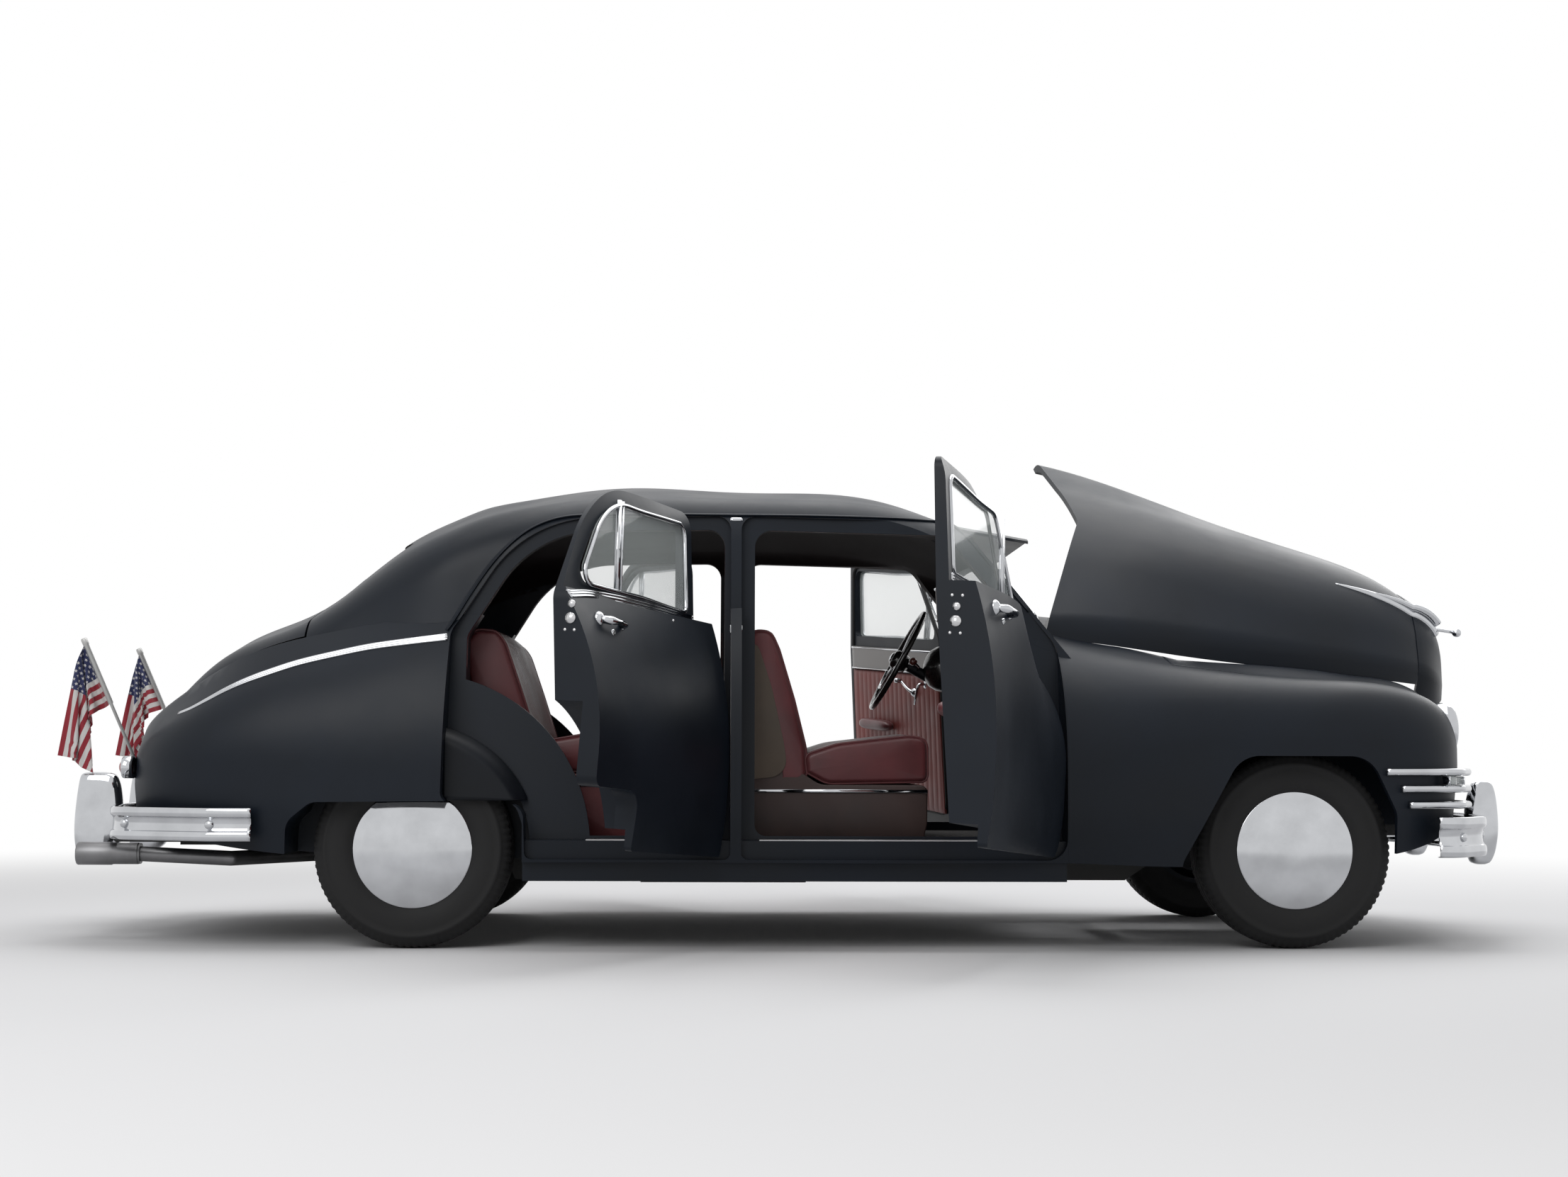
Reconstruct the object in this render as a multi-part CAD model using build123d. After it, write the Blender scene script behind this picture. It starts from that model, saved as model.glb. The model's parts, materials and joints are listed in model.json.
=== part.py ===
from build123d import *
import os
from math import cos, radians, sin, tan

# A full-size late-1940s four-door sedan, with doors and hood standing open.
# Millimetres. X points forward, Y to the car's left, Z up from the road.
# Places are measured from the middle of the wheelbase; the finished pieces are
# then moved so that the frame's origin lies under the middle of the whole car.

# Driving dimensions
wheelbase = 3048.0
track_front = 1514.0
track_rear = 1542.0
tyre_radius = 340.0
tyre_width = 200.0
rim_radius = 192.0
cover_radius = 201.0
cover_crown = 88.0
spindle_radius = 20.0
running_clearance = 0.05
seat_gap = 0.3
door_gap = 9.0
panel_gap = 8.0

front_axle_x = wheelbase / 2
rear_axle_x = -wheelbase / 2
axle_z = tyre_radius

front_reach = 2401.0
rear_reach = 2885.0

# Poses of the photographed rest position, in degrees from closed
front_door_open = 70.0
rear_door_open = 66.0
hood_open = 36.5
door_axis_lean = 4.2

# Walls
roof_wall = 70.0
lid_wall = 25.0
fender_wall = 28.0
hood_wall = 20.0

# Body sides
flank_z = 580.0
flank_half_width = 984.0
belt_z = 1109.0
sill_top_z = 372.0
sill_lip_y = 935.0
door_floor_z = 385.0
door_bottom_z = 318.0
pillar_b_front_x = -403.0
pillar_b_rear_x = -440.0
fender_edge_x = 712.0
front_door_edge_x = 700.0
wheelhouse_radius = 400.0
wheelhouse_skin = 25.0
wheelhouse_half_width = 655.0
wheelhouse_out_y = 880.0
trunk_half_width = 640.0
trunk_seam_x = -1940.0

nodes = {}


def face_on(plane, corners):
    """A flat face whose outline runs through corners (u, v, radius), each rounded by a tangent arc."""
    ends = []
    count = len(corners)
    for i, (u, v, radius) in enumerate(corners):
        corner = Vector(u, v)
        back = Vector(*corners[i - 1][:2]) - corner
        ahead = Vector(*corners[(i + 1) % count][:2]) - corner
        if radius == 0:
            ends.append((corner, corner, None))
            continue
        half_angle = radians(back.get_angle(ahead)) / 2
        reach = radius / tan(half_angle)
        toward_middle = (back.normalized() + ahead.normalized()).normalized()
        arc_middle = corner + toward_middle * (radius / sin(half_angle) - radius)
        ends.append((corner + back.normalized() * reach, corner + ahead.normalized() * reach, arc_middle))
    edges = []
    for i, (start, end, arc_middle) in enumerate(ends):
        if arc_middle is not None:
            edges.append(Edge.make_three_point_arc(start, arc_middle, end))
        following = ends[(i + 1) % count][0]
        if (following - end).length > 1e-6:
            edges.append(Edge.make_line(end, following))
    return plane * Face(Wire(edges))


def mirrored_outline(half):
    """The half outline (y, z, radius) from the bottom up, closed by its mirror image about y = 0."""
    return half + [(-y, z, r) for y, z, r in reversed(half) if y > 0]


def mirrored_plan(half):
    """The half plan outline (x, y, radius) of one side, closed by its mirror image about y = 0."""
    return half + [(x, -y, r) for x, y, r in reversed(half) if y > 0]


def cross_plane(x):
    """The plane across the car at x: its u is Y and its v is Z."""
    return Plane(origin=(x, 0, 0), x_dir=(0, 1, 0), z_dir=(1, 0, 0))


def side_prism(corners, y_low, y_high):
    """A side-view outline (x, z, radius) drawn out from y_low to y_high."""
    plane = Plane(origin=(0, y_high, 0), x_dir=(1, 0, 0), z_dir=(0, -1, 0))
    return extrude(face_on(plane, corners), y_high - y_low, dir=(0, -1, 0))


def plan_prism(corners, z_low, z_high):
    """A plan outline (x, y, radius) drawn up from z_low to z_high."""
    return extrude(face_on(Plane.XY.offset(z_low), corners), z_high - z_low, dir=(0, 0, 1))


def cross_prism(corners, x_low, x_high):
    """A cross-section outline (y, z, radius) drawn forward from x_low to x_high."""
    return extrude(face_on(cross_plane(x_low), corners), x_high - x_low, dir=(1, 0, 0))


def block(x_low, x_high, y_low, y_high, z_low, z_high):
    """A box between two corners."""
    size = (x_high - x_low, y_high - y_low, z_high - z_low)
    middle = ((x_low + x_high) / 2, (y_low + y_high) / 2, (z_low + z_high) / 2)
    return Pos(*middle) * Box(*size)


def rod(start, end, radius):
    """A round bar between two points."""
    start, end = Vector(*start), Vector(*end)
    along = end - start
    return extrude(Plane(origin=start, z_dir=along) * Circle(radius), along.length)


def mirror_y(shape):
    """The same piece on the other side of the car."""
    return mirror(shape, Plane.XZ)


# Lower body: flanks, fenders and tail. Each section runs up the flank, over the shoulder
# and in to the crest, with a tangent arc at the flank and one at the shoulder.
# Columns: x, z_bottom, w_bottom, w_flank, r_flank, z_shoulder, r_shoulder, w_crest, z_crest
flank_bend_height = 150.0
lower_stations = (
    (-2540, 400, 500, 560, 50, 620, 40, 440, 690),
    (-2480, 390, 640, 700, 150, 680, 90, 540, 790),
    (-2350, 375, 770, 815, 300, 735, 190, 600, 885),
    (-2150, 345, 865, 895, 500, 790, 330, 660, 1000),
    (-1850, 315, 925, 945, 600, 830, 500, 700, 1085),
    (-1450, 300, 955, 972, 800, 860, 800, 770, 1145),
    (-900, 300, 968, flank_half_width, 900, 871, 930, 791, 1150),
    (450, 300, 968, flank_half_width, 900, 871, 930, 791, 1150),
    (720, 300, 965, flank_half_width, 900, 925, 500, 640, 1095),
    (1000, 290, 962, 978, 900, 935, 330, 585, 1050),
    (1300, 290, 955, 970, 900, 940, 250, 545, 985),
    (1560, 300, 945, 958, 900, 938, 225, 510, 945),
    (1850, 330, 905, 925, 500, 938, 215, 470, 915),
    (2000, 370, 850, 877, 300, 905, 190, 445, 880),
    (2090, 420, 770, 805, 150, 860, 150, 400, 830),
    (2145, 480, 660, 710, 60, 790, 90, 330, 775),
)

# Greenhouse and deck: side wall, rail arc and crowned roof.
# Columns: x, z_base, w_base, w_rail, z_rail, r_rail, z_top, r_top
upper_stations = (
    (760, 1000, 790, 690, 1330, 150, 1413, 2500),
    (545, 1000, 803, 714, 1407, 155, 1504, 2800),
    (330, 1000, 815, 735, 1480, 160, 1579, 3000),
    (130, 1000, 822, 755, 1525, 175, 1671, 2640),
    (-150, 1000, 822, 766, 1548, 185, 1701, 2275),
    (-600, 1000, 822, 768, 1552, 190, 1719, 2275),
    (-1050, 1000, 822, 760, 1530, 200, 1697, 2145),
    (-1350, 980, 815, 735, 1460, 220, 1650, 1820),
    (-1600, 950, 800, 690, 1350, 230, 1528, 1500),
    (-1800, 900, 780, 650, 1210, 220, 1356, 1500),
    (-1960, 860, 760, 640, 1110, 200, 1230, 1600),
    (-2150, 800, 700, 590, 1040, 180, 1146, 1500),
    (-2350, 700, 610, 510, 920, 150, 995, 1400),
    (-2500, 600, 500, 420, 790, 110, 845, 1200),
    (-2580, 520, 400, 340, 690, 70, 728, 1000),
)

# Hood, as it lies closed: edge, side arc and crown.
# Columns: x, z_edge, w_edge, w_side, z_side, r_side, z_top, r_top
hood_stations = (
    (560, 1046, 666, 622, 1106, 130, 1262, 1400),
    (900, 1030, 592, 548, 1092, 125, 1216, 1200),
    (1300, 943, 496, 450, 1019, 110, 1163, 800),
    (1700, 879, 414, 372, 949, 95, 1095, 700),
    (2000, 826, 348, 310, 890, 80, 1015, 500),
    (2130, 782, 288, 262, 842, 65, 949, 400),
)
nose_stations = (
    (2130, 700, 304, 268, 842, 65, 953, 400),
    (2195, 680, 278, 244, 806, 60, 915, 300),
    (2240, 668, 238, 204, 752, 50, 862, 220),
    (2266, 660, 192, 156, 704, 40, 800, 160),
)


def lower_form(grow=0.0):
    """The lower body's outer skin as a solid, with its flanks and crests moved out by grow."""
    faces = []
    for x, z_bottom, w_bottom, w_flank, r_flank, z_shoulder, r_shoulder, w_crest, z_crest in lower_stations:
        half = [
            (w_bottom + grow, z_bottom + min(grow, 0), 0),
            (w_flank + grow, z_bottom + flank_bend_height, r_flank),
            (w_flank + grow, z_shoulder + grow, r_shoulder),
            (w_crest + grow, z_crest + grow, 0),
        ]
        faces.append(face_on(cross_plane(x), mirrored_outline(half)))
    return loft(faces)


def upper_form(grow=0.0):
    """The greenhouse and deck as a solid, with its sides and roof moved out by grow."""
    faces = []
    for x, z_base, w_base, w_rail, z_rail, r_rail, z_top, r_top in upper_stations:
        half = [
            (w_base + grow, z_base + min(grow, 0), 0),
            (w_rail + grow, z_rail + grow, max(r_rail + grow, 15)),
            (0, z_top + grow, r_top),
        ]
        faces.append(face_on(cross_plane(x), mirrored_outline(half)))
    return loft(faces)


def hood_form(grow=0.0):
    """The closed hood's outer skin as a solid, with its sides and crown moved out by grow."""
    form = Part()
    for stations in (hood_stations, nose_stations):
        faces = []
        for x, z_edge, w_edge, w_side, z_side, r_side, z_top, r_top in stations:
            half = [
                (w_edge + grow, z_edge + min(grow, 0), 0),
                (w_side + grow, z_side + grow, r_side + min(grow, 0)),
                (0, z_top + grow, r_top),
            ]
            faces.append(face_on(cross_plane(x), mirrored_outline(half)))
        form += loft(faces)
    return form


lower = lower_form()
upper = upper_form()

# Side-view outlines of the right-hand doors, as (x, z, corner radius)
front_door_rear_x = pillar_b_front_x + door_gap
rear_door_front_x = pillar_b_rear_x - door_gap
front_door_outline = [
    (front_door_rear_x, door_bottom_z, 15),
    (front_door_edge_x, door_bottom_z, 60),
    (front_door_edge_x, 1040, 120),
    (600, 1165, 120),
    (345, 1478, 110),
    (front_door_rear_x, 1494, 40),
]
rear_door_outline = [
    (rear_door_front_x, door_bottom_z, 15),
    (rear_door_front_x, 1494, 40),
    (-1147, 1480, 430),
    (-1400, 1085, 60),
    (-1412, 505, 30),
    (-1132, 505, 60),
    (-1126, door_bottom_z, 15),
]
front_window_outline = [
    (front_door_rear_x + 55, belt_z + 31, 25),
    (front_door_rear_x + 55, 1442, 45),
    (300, 1428, 90),
    (535, belt_z + 31, 30),
]
rear_window_outline = [
    (rear_door_front_x - 55, belt_z + 31, 25),
    (rear_door_front_x - 55, 1442, 45),
    (-1105, 1430, 300),
    (-1300, belt_z + 31, 40),
]

# Openings into the cabin behind the doors
front_hole_outline = [
    (-355, door_floor_z, 40),
    (-355, 1455, 60),
    (322, 1440, 90),
    (560, 1150, 80),
    (590, door_floor_z, 60),
]
rear_hole_outline = [
    (-461, door_floor_z, 40),
    (-461, 1455, 60),
    (-1125, 1445, 400),
    (-1358, 1075, 60),
    (-1358, door_floor_z, 0),
]

# Inner faces of door and wall, as (y, z) from the sill to the rail
door_inner_line = ((864, 180), (857, 376), (772, 1069), (738, 1496), (730, 1600))
wall_inner_step = 30.0


def inside_of(line, step, x_low, x_high):
    """Everything between the two inner faces, moved in by step, from x_low to x_high."""
    half = [(y - step, z, 0) for y, z in line]
    return cross_prism(mirrored_outline(half), x_low, x_high)


def grown_outline(corners, grow, y_low, y_high):
    """The prism of an outline moved out by grow."""
    plane = Plane(origin=(0, y_high, 0), x_dir=(1, 0, 0), z_dir=(0, -1, 0))
    return extrude(offset(face_on(plane, corners), grow), y_high - y_low, dir=(0, -1, 0))


outside_y = 1020.0
inside_y = 560.0

wheelhouse_drum = rod(
    (rear_axle_x, -trunk_half_width, axle_z), (rear_axle_x, -outside_y, axle_z),
    wheelhouse_radius + wheelhouse_skin
)
cabin_void = inside_of(door_inner_line, wall_inner_step, -1300, fender_edge_x)
cabin_void -= wheelhouse_drum + mirror_y(wheelhouse_drum)
trunk_void = plan_prism(
    mirrored_plan([(-2500, 380, 0), (-2330, 560, 60), (-1990, trunk_half_width, 60),
    (-1300, trunk_half_width, 0)]),
    250,
    1300,
)


def door_shape(outline, window):
    """A right-hand door as it lies closed: body skin outside, flat card inside, window cut out."""
    whole = side_prism(outline, -outside_y, -inside_y)
    below_belt = block(-3000, 3000, -outside_y, 0, 0, belt_z)
    above_belt = block(-3000, 3000, -outside_y, 0, belt_z, 1700)
    skin_below = lower & whole & below_belt
    skin_above = upper & whole & above_belt
    door = skin_below + skin_above
    door -= inside_of(door_inner_line, 0, -3000, 3000)
    door -= block(-3000, 3000, -(sill_lip_y + door_gap), 0, 0, door_floor_z)
    door -= side_prism(window, -outside_y, -inside_y)
    return door


door_front = door_shape(front_door_outline, front_window_outline)
door_rear = door_shape(rear_door_outline, rear_window_outline)
drum_clearance = rod(
    (rear_axle_x, -inside_y, axle_z),
    (rear_axle_x, -(wheelhouse_out_y + wheelhouse_skin), axle_z),
    wheelhouse_radius + wheelhouse_skin + door_gap,
)
door_rear -= drum_clearance

# Door glass lies in a flat plane just inside the skin
glass_section = [(-803, belt_z - 4, 0), (-798, belt_z - 4, 0), (-762, 1460, 0), (-767, 1460, 0)]


def door_glass(window):
    """Flat glass that fills a door's window."""
    return cross_prism(glass_section, -3000, 3000) & grown_outline(window, -seat_gap, -outside_y, -inside_y)


# Body side: sill, pillars below the belt and the rear quarter with its wheelhouse
door_cut = grown_outline(front_door_outline, door_gap, -outside_y, -inside_y)
door_cut += grown_outline(rear_door_outline, door_gap, -outside_y, -inside_y)
door_cut -= inside_of(door_inner_line, 6, -3000, 3000)
sill_block = block(-3000, 3000, -sill_lip_y, 0, 0, sill_top_z)
hole_cut = side_prism(front_hole_outline, -outside_y, -inside_y)
hole_cut += side_prism(rear_hole_outline, -outside_y, -inside_y) - rod(
    (rear_axle_x, -inside_y, axle_z), (rear_axle_x, -outside_y, axle_z), 605
)
rear_arch = side_prism(
    [(-1952, 200, 0), (-1945, 430, 70), (-1860, 499, 60), (-1170, 507, 60), (-1143, 430, 50),
    (-1143, 200, 0)],
    -outside_y,
    -wheelhouse_half_width,
)
wheel_void = rod(
    (rear_axle_x, -wheelhouse_half_width, axle_z), (rear_axle_x, -wheelhouse_out_y, axle_z),
    wheelhouse_radius
)
wheel_void += block(
    rear_axle_x - wheelhouse_radius, rear_axle_x + wheelhouse_radius,
    -wheelhouse_out_y, -wheelhouse_half_width, 0, axle_z,
)

body_side = lower & block(-2600, fender_edge_x, -outside_y, -trunk_half_width + 300, 0, 1300)
body_side -= cabin_void
body_side -= trunk_void
body_side -= door_cut - sill_block
body_side -= hole_cut
body_side -= wheel_void
body_side -= rear_arch
axle_notch_half = 110.0
body_side -= block(
    rear_axle_x - axle_notch_half, rear_axle_x + axle_notch_half, -wheelhouse_half_width - 1,
    -trunk_half_width + 1,
    200, 500,
)
tail_lamp_y = 615.0
tail_lamp_z = 612.0
tail_lamp_radius = 38.0
tail_lamp_rear_x = -2562.0
body_side -= rod((-2515, -tail_lamp_y, tail_lamp_z), (-2600, -tail_lamp_y, tail_lamp_z),
    tail_lamp_radius + seat_gap)
rocker_y = 842.0
rocker_bottom_z = 235.0
body_side += block(-1143, fender_edge_x, -sill_lip_y, -rocker_y, rocker_bottom_z, 312)
nodes["body_side_right"] = body_side
nodes["body_side_left"] = mirror_y(body_side)



def lean_plane(foot, corner, rake, inset):
    """The plane of one windshield pane, moved in by inset; its z axis points forward."""
    along = Vector(*foot) - Vector(*corner)
    rise = Vector(-rake, 0, 1)
    normal = along.cross(rise).normalized()
    return Plane(origin=Vector(*foot) - normal * inset, x_dir=along, z_dir=normal)


def slab_on(plane, thickness):
    """A wide plate that stands on the front of a plane."""
    return plane * Pos(0, 0, thickness / 2) * Box(4000, 4000, thickness)


# Windshield: two flat panes that meet in a V at the centre post
windshield_foot = (772.0, 0.0, 1165.0)
windshield_corner = (650.0, -640.0, 1165.0)
windshield_rake = 0.829
glass_thickness = 6.0
glass_foot_z = 1120.0
post_half_width = 12.0

# Hood rear edge and cowl: a V in plan, its point forward
hood_gap = 12.0
hood_point_x = 812.0
hood_corner_x = 680.0
hood_corner_y = 640.0
cowl_rear_x = 600.0
hood_edge_line = [(x, w_edge + hood_gap, 0) for x, _, w_edge, *_ in hood_stations[:-1] + nose_stations]
hood_plan = plan_prism(mirrored_plan(hood_edge_line), 400, 1400)
slope = (hood_point_x - hood_corner_x) / hood_corner_y
ahead_of_hood_edge = plan_prism(
    mirrored_plan([(2600, 1000, 0), (hood_point_x - slope * 1000, 1000, 0), (hood_point_x, 0, 0)]), 0, 2000
)
behind_hood_gap = plan_prism(
    mirrored_plan(
        [(hood_point_x - panel_gap, 0, 0), (hood_point_x - panel_gap - slope * 1000, 1000, 0),
        (-200, 1000, 0)]
    ),
    0,
    2000,
)

hood_whole = hood_form()
firewall_x = 700.0
cowl_slab = inside_of(door_inner_line, wall_inner_step, cowl_rear_x, 900) & behind_hood_gap
cowl = (lower & block(cowl_rear_x, fender_edge_x, -900, 900, 1040, 1300) & cowl_slab)
cowl += hood_whole & block(cowl_rear_x, 900, -900, 900, 1040, 1300) & behind_hood_gap
cowl += block(firewall_x, fender_edge_x, -740, 740, 350.5, 1045)
cowl -= body_side + mirror_y(body_side)
nodes["cowl"] = cowl

# Roof with its pillars down to the belt
front_of_glass_right = slab_on(lean_plane(windshield_foot, windshield_corner, windshield_rake, 0), 1500)
upper_inside = upper_form(-roof_wall)
roof = upper & block(trunk_seam_x + panel_gap, 900, -1000, 1000, 900, 1700)
roof -= upper_inside
roof -= front_of_glass_right + mirror_y(front_of_glass_right)
roof -= lower
roof -= hood_whole
roof -= door_cut + mirror_y(door_cut)
roof -= hole_cut + mirror_y(hole_cut)
rear_window_corners = [(430, 1300, 70), (430, 1432, 60), (-430, 1432, 60), (-430, 1300, 70)]
roof -= cross_prism(rear_window_corners, trunk_seam_x, -1400)
post = slab_on(lean_plane(windshield_foot, windshield_corner, windshield_rake, 26), 26)
post &= block(300, 900, -post_half_width, 0, 1100, 1600)
post &= upper_form(-roof_wall + 1)
post -= hood_whole
roof += post + mirror_y(post)
nodes["roof"] = roof

pane = slab_on(lean_plane(windshield_foot, windshield_corner, windshield_rake, 16), glass_thickness)
pane &= block(300, 900, -900, -post_half_width - seat_gap, glass_foot_z, 1600)
pane &= upper_form(-roof_wall - seat_gap)
pane -= hood_form(seat_gap) + lower
rear_glass = upper_form(-20) - upper_form(-20 - glass_thickness)
rear_pane_corners = [(y - seat_gap if y > 0 else y + seat_gap, z, r) for y, z, r in rear_window_corners]
rear_glass &= cross_prism(rear_pane_corners, trunk_seam_x, -1400)
nodes["windshield"] = pane + mirror_y(pane)
nodes["rear_window"] = rear_glass

# Front fenders with their inner aprons
apron_y = 466.0
apron_skin = 10.0
ledge_drop = 37.0
ledge_rise = 12.0
front_arch = side_prism(
    [(1085, 200, 0), (1110, 310, 30), (1310, 668, 110), (1765, 668, 110), (1862, 470, 90), (1862, 200, 0)],
    -outside_y,
    -apron_y - 60,
)
lower_inside = lower_form(-fender_wall) & block(-3000, 2145 - fender_wall, -1000, 1000, 0, 1400)
nose_half_width = 429.0
nose_top_z = 652.0
fender_room = block(fender_edge_x + seat_gap, 2300, -outside_y, -nose_half_width, 0, 1400)
fender_room += block(fender_edge_x + seat_gap, 2300, -nose_half_width, -180, nose_top_z + panel_gap, 1400)
fender = (lower - lower_inside) & fender_room
fender -= hood_plan
ledge_line = [(x, z_edge - ledge_drop + ledge_rise) for x, z_edge, *_ in hood_stations if 800 < x < 2200]
ledge_outline = [(fender_edge_x + 5, 1014, 0)] + [(x, z, 0) for x, z in ledge_line]
ledge_outline += [(x, z - ledge_rise, 0) for x, z in reversed(ledge_line)] + [(fender_edge_x + 5, 1002, 0)]
ledge = side_prism(ledge_outline, -900, -apron_y) & lower_form(-5)
apron = side_prism(
    [(fender_edge_x + 5, 420, 0), (2060, 420, 0), (2060, 815, 0), (1850, 890, 0), (1600, 912, 0),
    (1500, 895, 0),
     (1300, 916, 0), (900, 1003, 0), (fender_edge_x + 5, 1012, 0)],
    -apron_y - apron_skin,
    -apron_y,
)
apron -= block(1430, 1620, -apron_y - 20, -apron_y + 20, 0, 530)
fender += ledge + apron
fender -= front_arch
lamp_y = 640.0
lamp_z = 763.0
lamp_radius = 97.0
lamp_front_x = 2158.0
fender -= rod((2070, -lamp_y, lamp_z), (2300, -lamp_y, lamp_z), lamp_radius + seat_gap)
nodes["fender_front_right"] = fender
nodes["fender_front_left"] = mirror_y(fender)

lamp = rod((2085, -lamp_y, lamp_z), (lamp_front_x, -lamp_y, lamp_z), lamp_radius)
lamp = chamfer(lamp.edges().filter_by(GeomType.CIRCLE).sort_by(Axis.X)[-1], 16)
nodes["headlamps"] = lamp + mirror_y(lamp)

# Nose panel under the hood, and the bars that wrap the front
nose_outline = [(2075, nose_half_width - seat_gap, 0), (2150, nose_half_width - seat_gap, 0),
    (2222, 300, 80), (2240, 0, 0)]
nose = plan_prism(mirrored_plan(nose_outline), 470, nose_top_z)
nose -= plan_prism(mirrored_plan([(2050, 360, 0), (2120, 360, 0), (2190, 240, 60), (2205, 0, 0)]), 520, 622)
nose -= block(2100, 2300, -230, 230, 540, 622)
nodes["nose_panel"] = nose
bar_path = [(1820, 940, 0), (1990, 906, 200), (2105, 850, 120), (2172, 730, 60), (2180, 430, 60),
    (2246, 290, 90), (2264, 0, 0)]
bar_rows = ((500, 1894), (556, 1865), (614, 1820))
bar_height = 26.0
bars = Part()
for bar_z, bar_start_x in bar_rows:
    bar = plan_prism(mirrored_plan(bar_path), bar_z - bar_height / 2, bar_z + bar_height / 2)
    bar -= lower_form(seat_gap) & block(1500, 2146, -1000, 1000, 0, 1000)
    bar -= nose
    bar -= block(1800, 2146, -660, 660, 0, 1000) + block(
        2000, 2215, -nose_half_width, nose_half_width, 0, 1000
    )
    bar &= block(bar_start_x, 2400, -1000, 1000, 0, 1000)
    bars += bar
nodes["grille_bars"] = bars

# Hood: one panel hinged along its right edge
hood_inside = hood_form(-hood_wall) & block(0, 2246, -900, 900, 0, 1400)
hood = (hood_whole - hood_inside) & ahead_of_hood_edge
hood_axis_rear = Vector(880, -651, 1040)
hood_axis_front = Vector(2000, -532, 905)
hood_axis = Axis(hood_axis_rear, hood_axis_front - hood_axis_rear)

# Trunk lid, closed in the photograph
lid = upper - (upper_form(-lid_wall) & block(-2555, 0, -900, 900, 0, 1400))
lid &= block(-2700, trunk_seam_x, -900, 900, 600, 1400)
lid -= lower_form(panel_gap)
lid -= block(-2700, -2530, -900, 900, 0, 700)
nodes["trunk_lid"] = lid
tail = lower & block(-2560, -2400, -340, 340, 0, 1400)
tail -= trunk_void
tail -= body_side + mirror_y(body_side)
plate_hole_radius = 3.5
plate_hole_spacing = 178.0
plate_hole_z = 612.0
for y in (-plate_hole_spacing / 2, plate_hole_spacing / 2):
    tail -= rod((-2600, y, plate_hole_z), (-2450, y, plate_hole_z), plate_hole_radius)
nodes["tail_panel"] = tail

# Doors, swung open about leaning axes at their front edges
lean = radians(door_axis_lean)
axis_direction = Vector(0, sin(lean), cos(lean))
front_door_axis = Axis(Vector(front_door_edge_x, -flank_half_width, flank_z), axis_direction)
rear_door_axis = Axis(Vector(rear_door_front_x, -flank_half_width, flank_z), axis_direction)
for name, door, window, axis, opened in (
    ("front", door_front, front_window_outline, front_door_axis, front_door_open),
    ("rear", door_rear, rear_window_outline, rear_door_axis, rear_door_open),
):
    swung = door.rotate(axis, opened)
    swung_glass = door_glass(window).rotate(axis, opened)
    nodes[f"door_{name}_right"] = swung
    nodes[f"door_{name}_left"] = mirror_y(swung)
    nodes[f"glass_{name}_right"] = swung_glass
    nodes[f"glass_{name}_left"] = mirror_y(swung_glass)
nodes["hood"] = hood.rotate(hood_axis, hood_open)

# Floor and frame
floor_z = 350.0
floor_skin = 20.0
floor = block(-1080, firewall_x - seat_gap, -826, 826, floor_z - floor_skin, floor_z)
rear_floor = side_prism(
    [(-1085, 330, 0), (-1205, 330, 0), (-1265, 520, 0), (-1945, 520, 0), (-2005, 440, 0), (-2499.5, 440, 0),
     (-2499.5, 460, 0), (-1997, 460, 0), (-1937, 540, 0), (-1251, 540, 0), (-1191, 350, 0), (-1075, 350, 0)],
    -700,
    700,
)
rear_floor &= plan_prism(
    mirrored_plan([(-2499.5, 379, 0), (-2330, 559, 60), (-1990, 639.5, 60), (-1070, 639.5, 0)]), 0, 1000
)
nodes["floor"] = floor + rear_floor

rail_inner_y = 380.0
rail_outer_y = 460.0
rail_depth = 95.0
rail_front_x = 2060.0
rail_rear_x = -2400.0
rail_line = (
    (rail_front_x, 380), (1250, 380), (1000, 215), (-1205, 215),
    (-1290, 420), (-1850, 420), (-2000, 335), (rail_rear_x, 335),
)
rail_outline = [(x, z, 0) for x, z in rail_line] + [(x, z + rail_depth, 0) for x, z in reversed(rail_line)]
rail = side_prism(rail_outline, -rail_outer_y, -rail_inner_y)
frame_piece = rail + mirror_y(rail)
for x, z_low, z_high in ((1960, 385, 440), (900, 225, 285), (-900, 218, 250), (rail_rear_x + 5, 340, 400)):
    frame_piece += block(x, x + 70, -rail_inner_y - 5, rail_inner_y + 5, z_low, z_high)
nodes["frame"] = frame_piece

# Engine and radiator
nodes["engine"] = block(980, 1820, -150, 150, 375.3, 860)
nodes["radiator"] = block(1940, 2000, -300, 300, 440.3, 800)

# Front suspension: crossmember, arms, coil springs and the pins the knuckles turn on
kingpin_y = 650.0
kingpin_radius = 12.0
arm_half = 44.0
lower_arm_z = (262.0, 288.0)
upper_arm_z = (478.0, 500.0)
knuckle_z = (296.0, 470.0)
pin_reach = 20.0
spring_y = 535.0
spring_radius = 40.0
arm_end_y = -kingpin_y - kingpin_radius
side_suspension = block(
    front_axle_x - arm_half, front_axle_x + arm_half, arm_end_y, -rail_inner_y - 30, *lower_arm_z
)
side_suspension += block(
    front_axle_x - arm_half, front_axle_x + arm_half, arm_end_y, -rail_inner_y - 30, *upper_arm_z
)
side_suspension += rod(
    (front_axle_x, -spring_y, lower_arm_z[0] + 5), (front_axle_x, -spring_y, upper_arm_z[1] - 5),
    spring_radius
)
side_suspension += rod(
    (front_axle_x, -kingpin_y, lower_arm_z[0]), (front_axle_x, -kingpin_y, knuckle_z[0] + pin_reach),
    kingpin_radius
)
side_suspension += rod(
    (front_axle_x, -kingpin_y, knuckle_z[1] - pin_reach), (front_axle_x, -kingpin_y, upper_arm_z[1]),
    kingpin_radius
)
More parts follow.
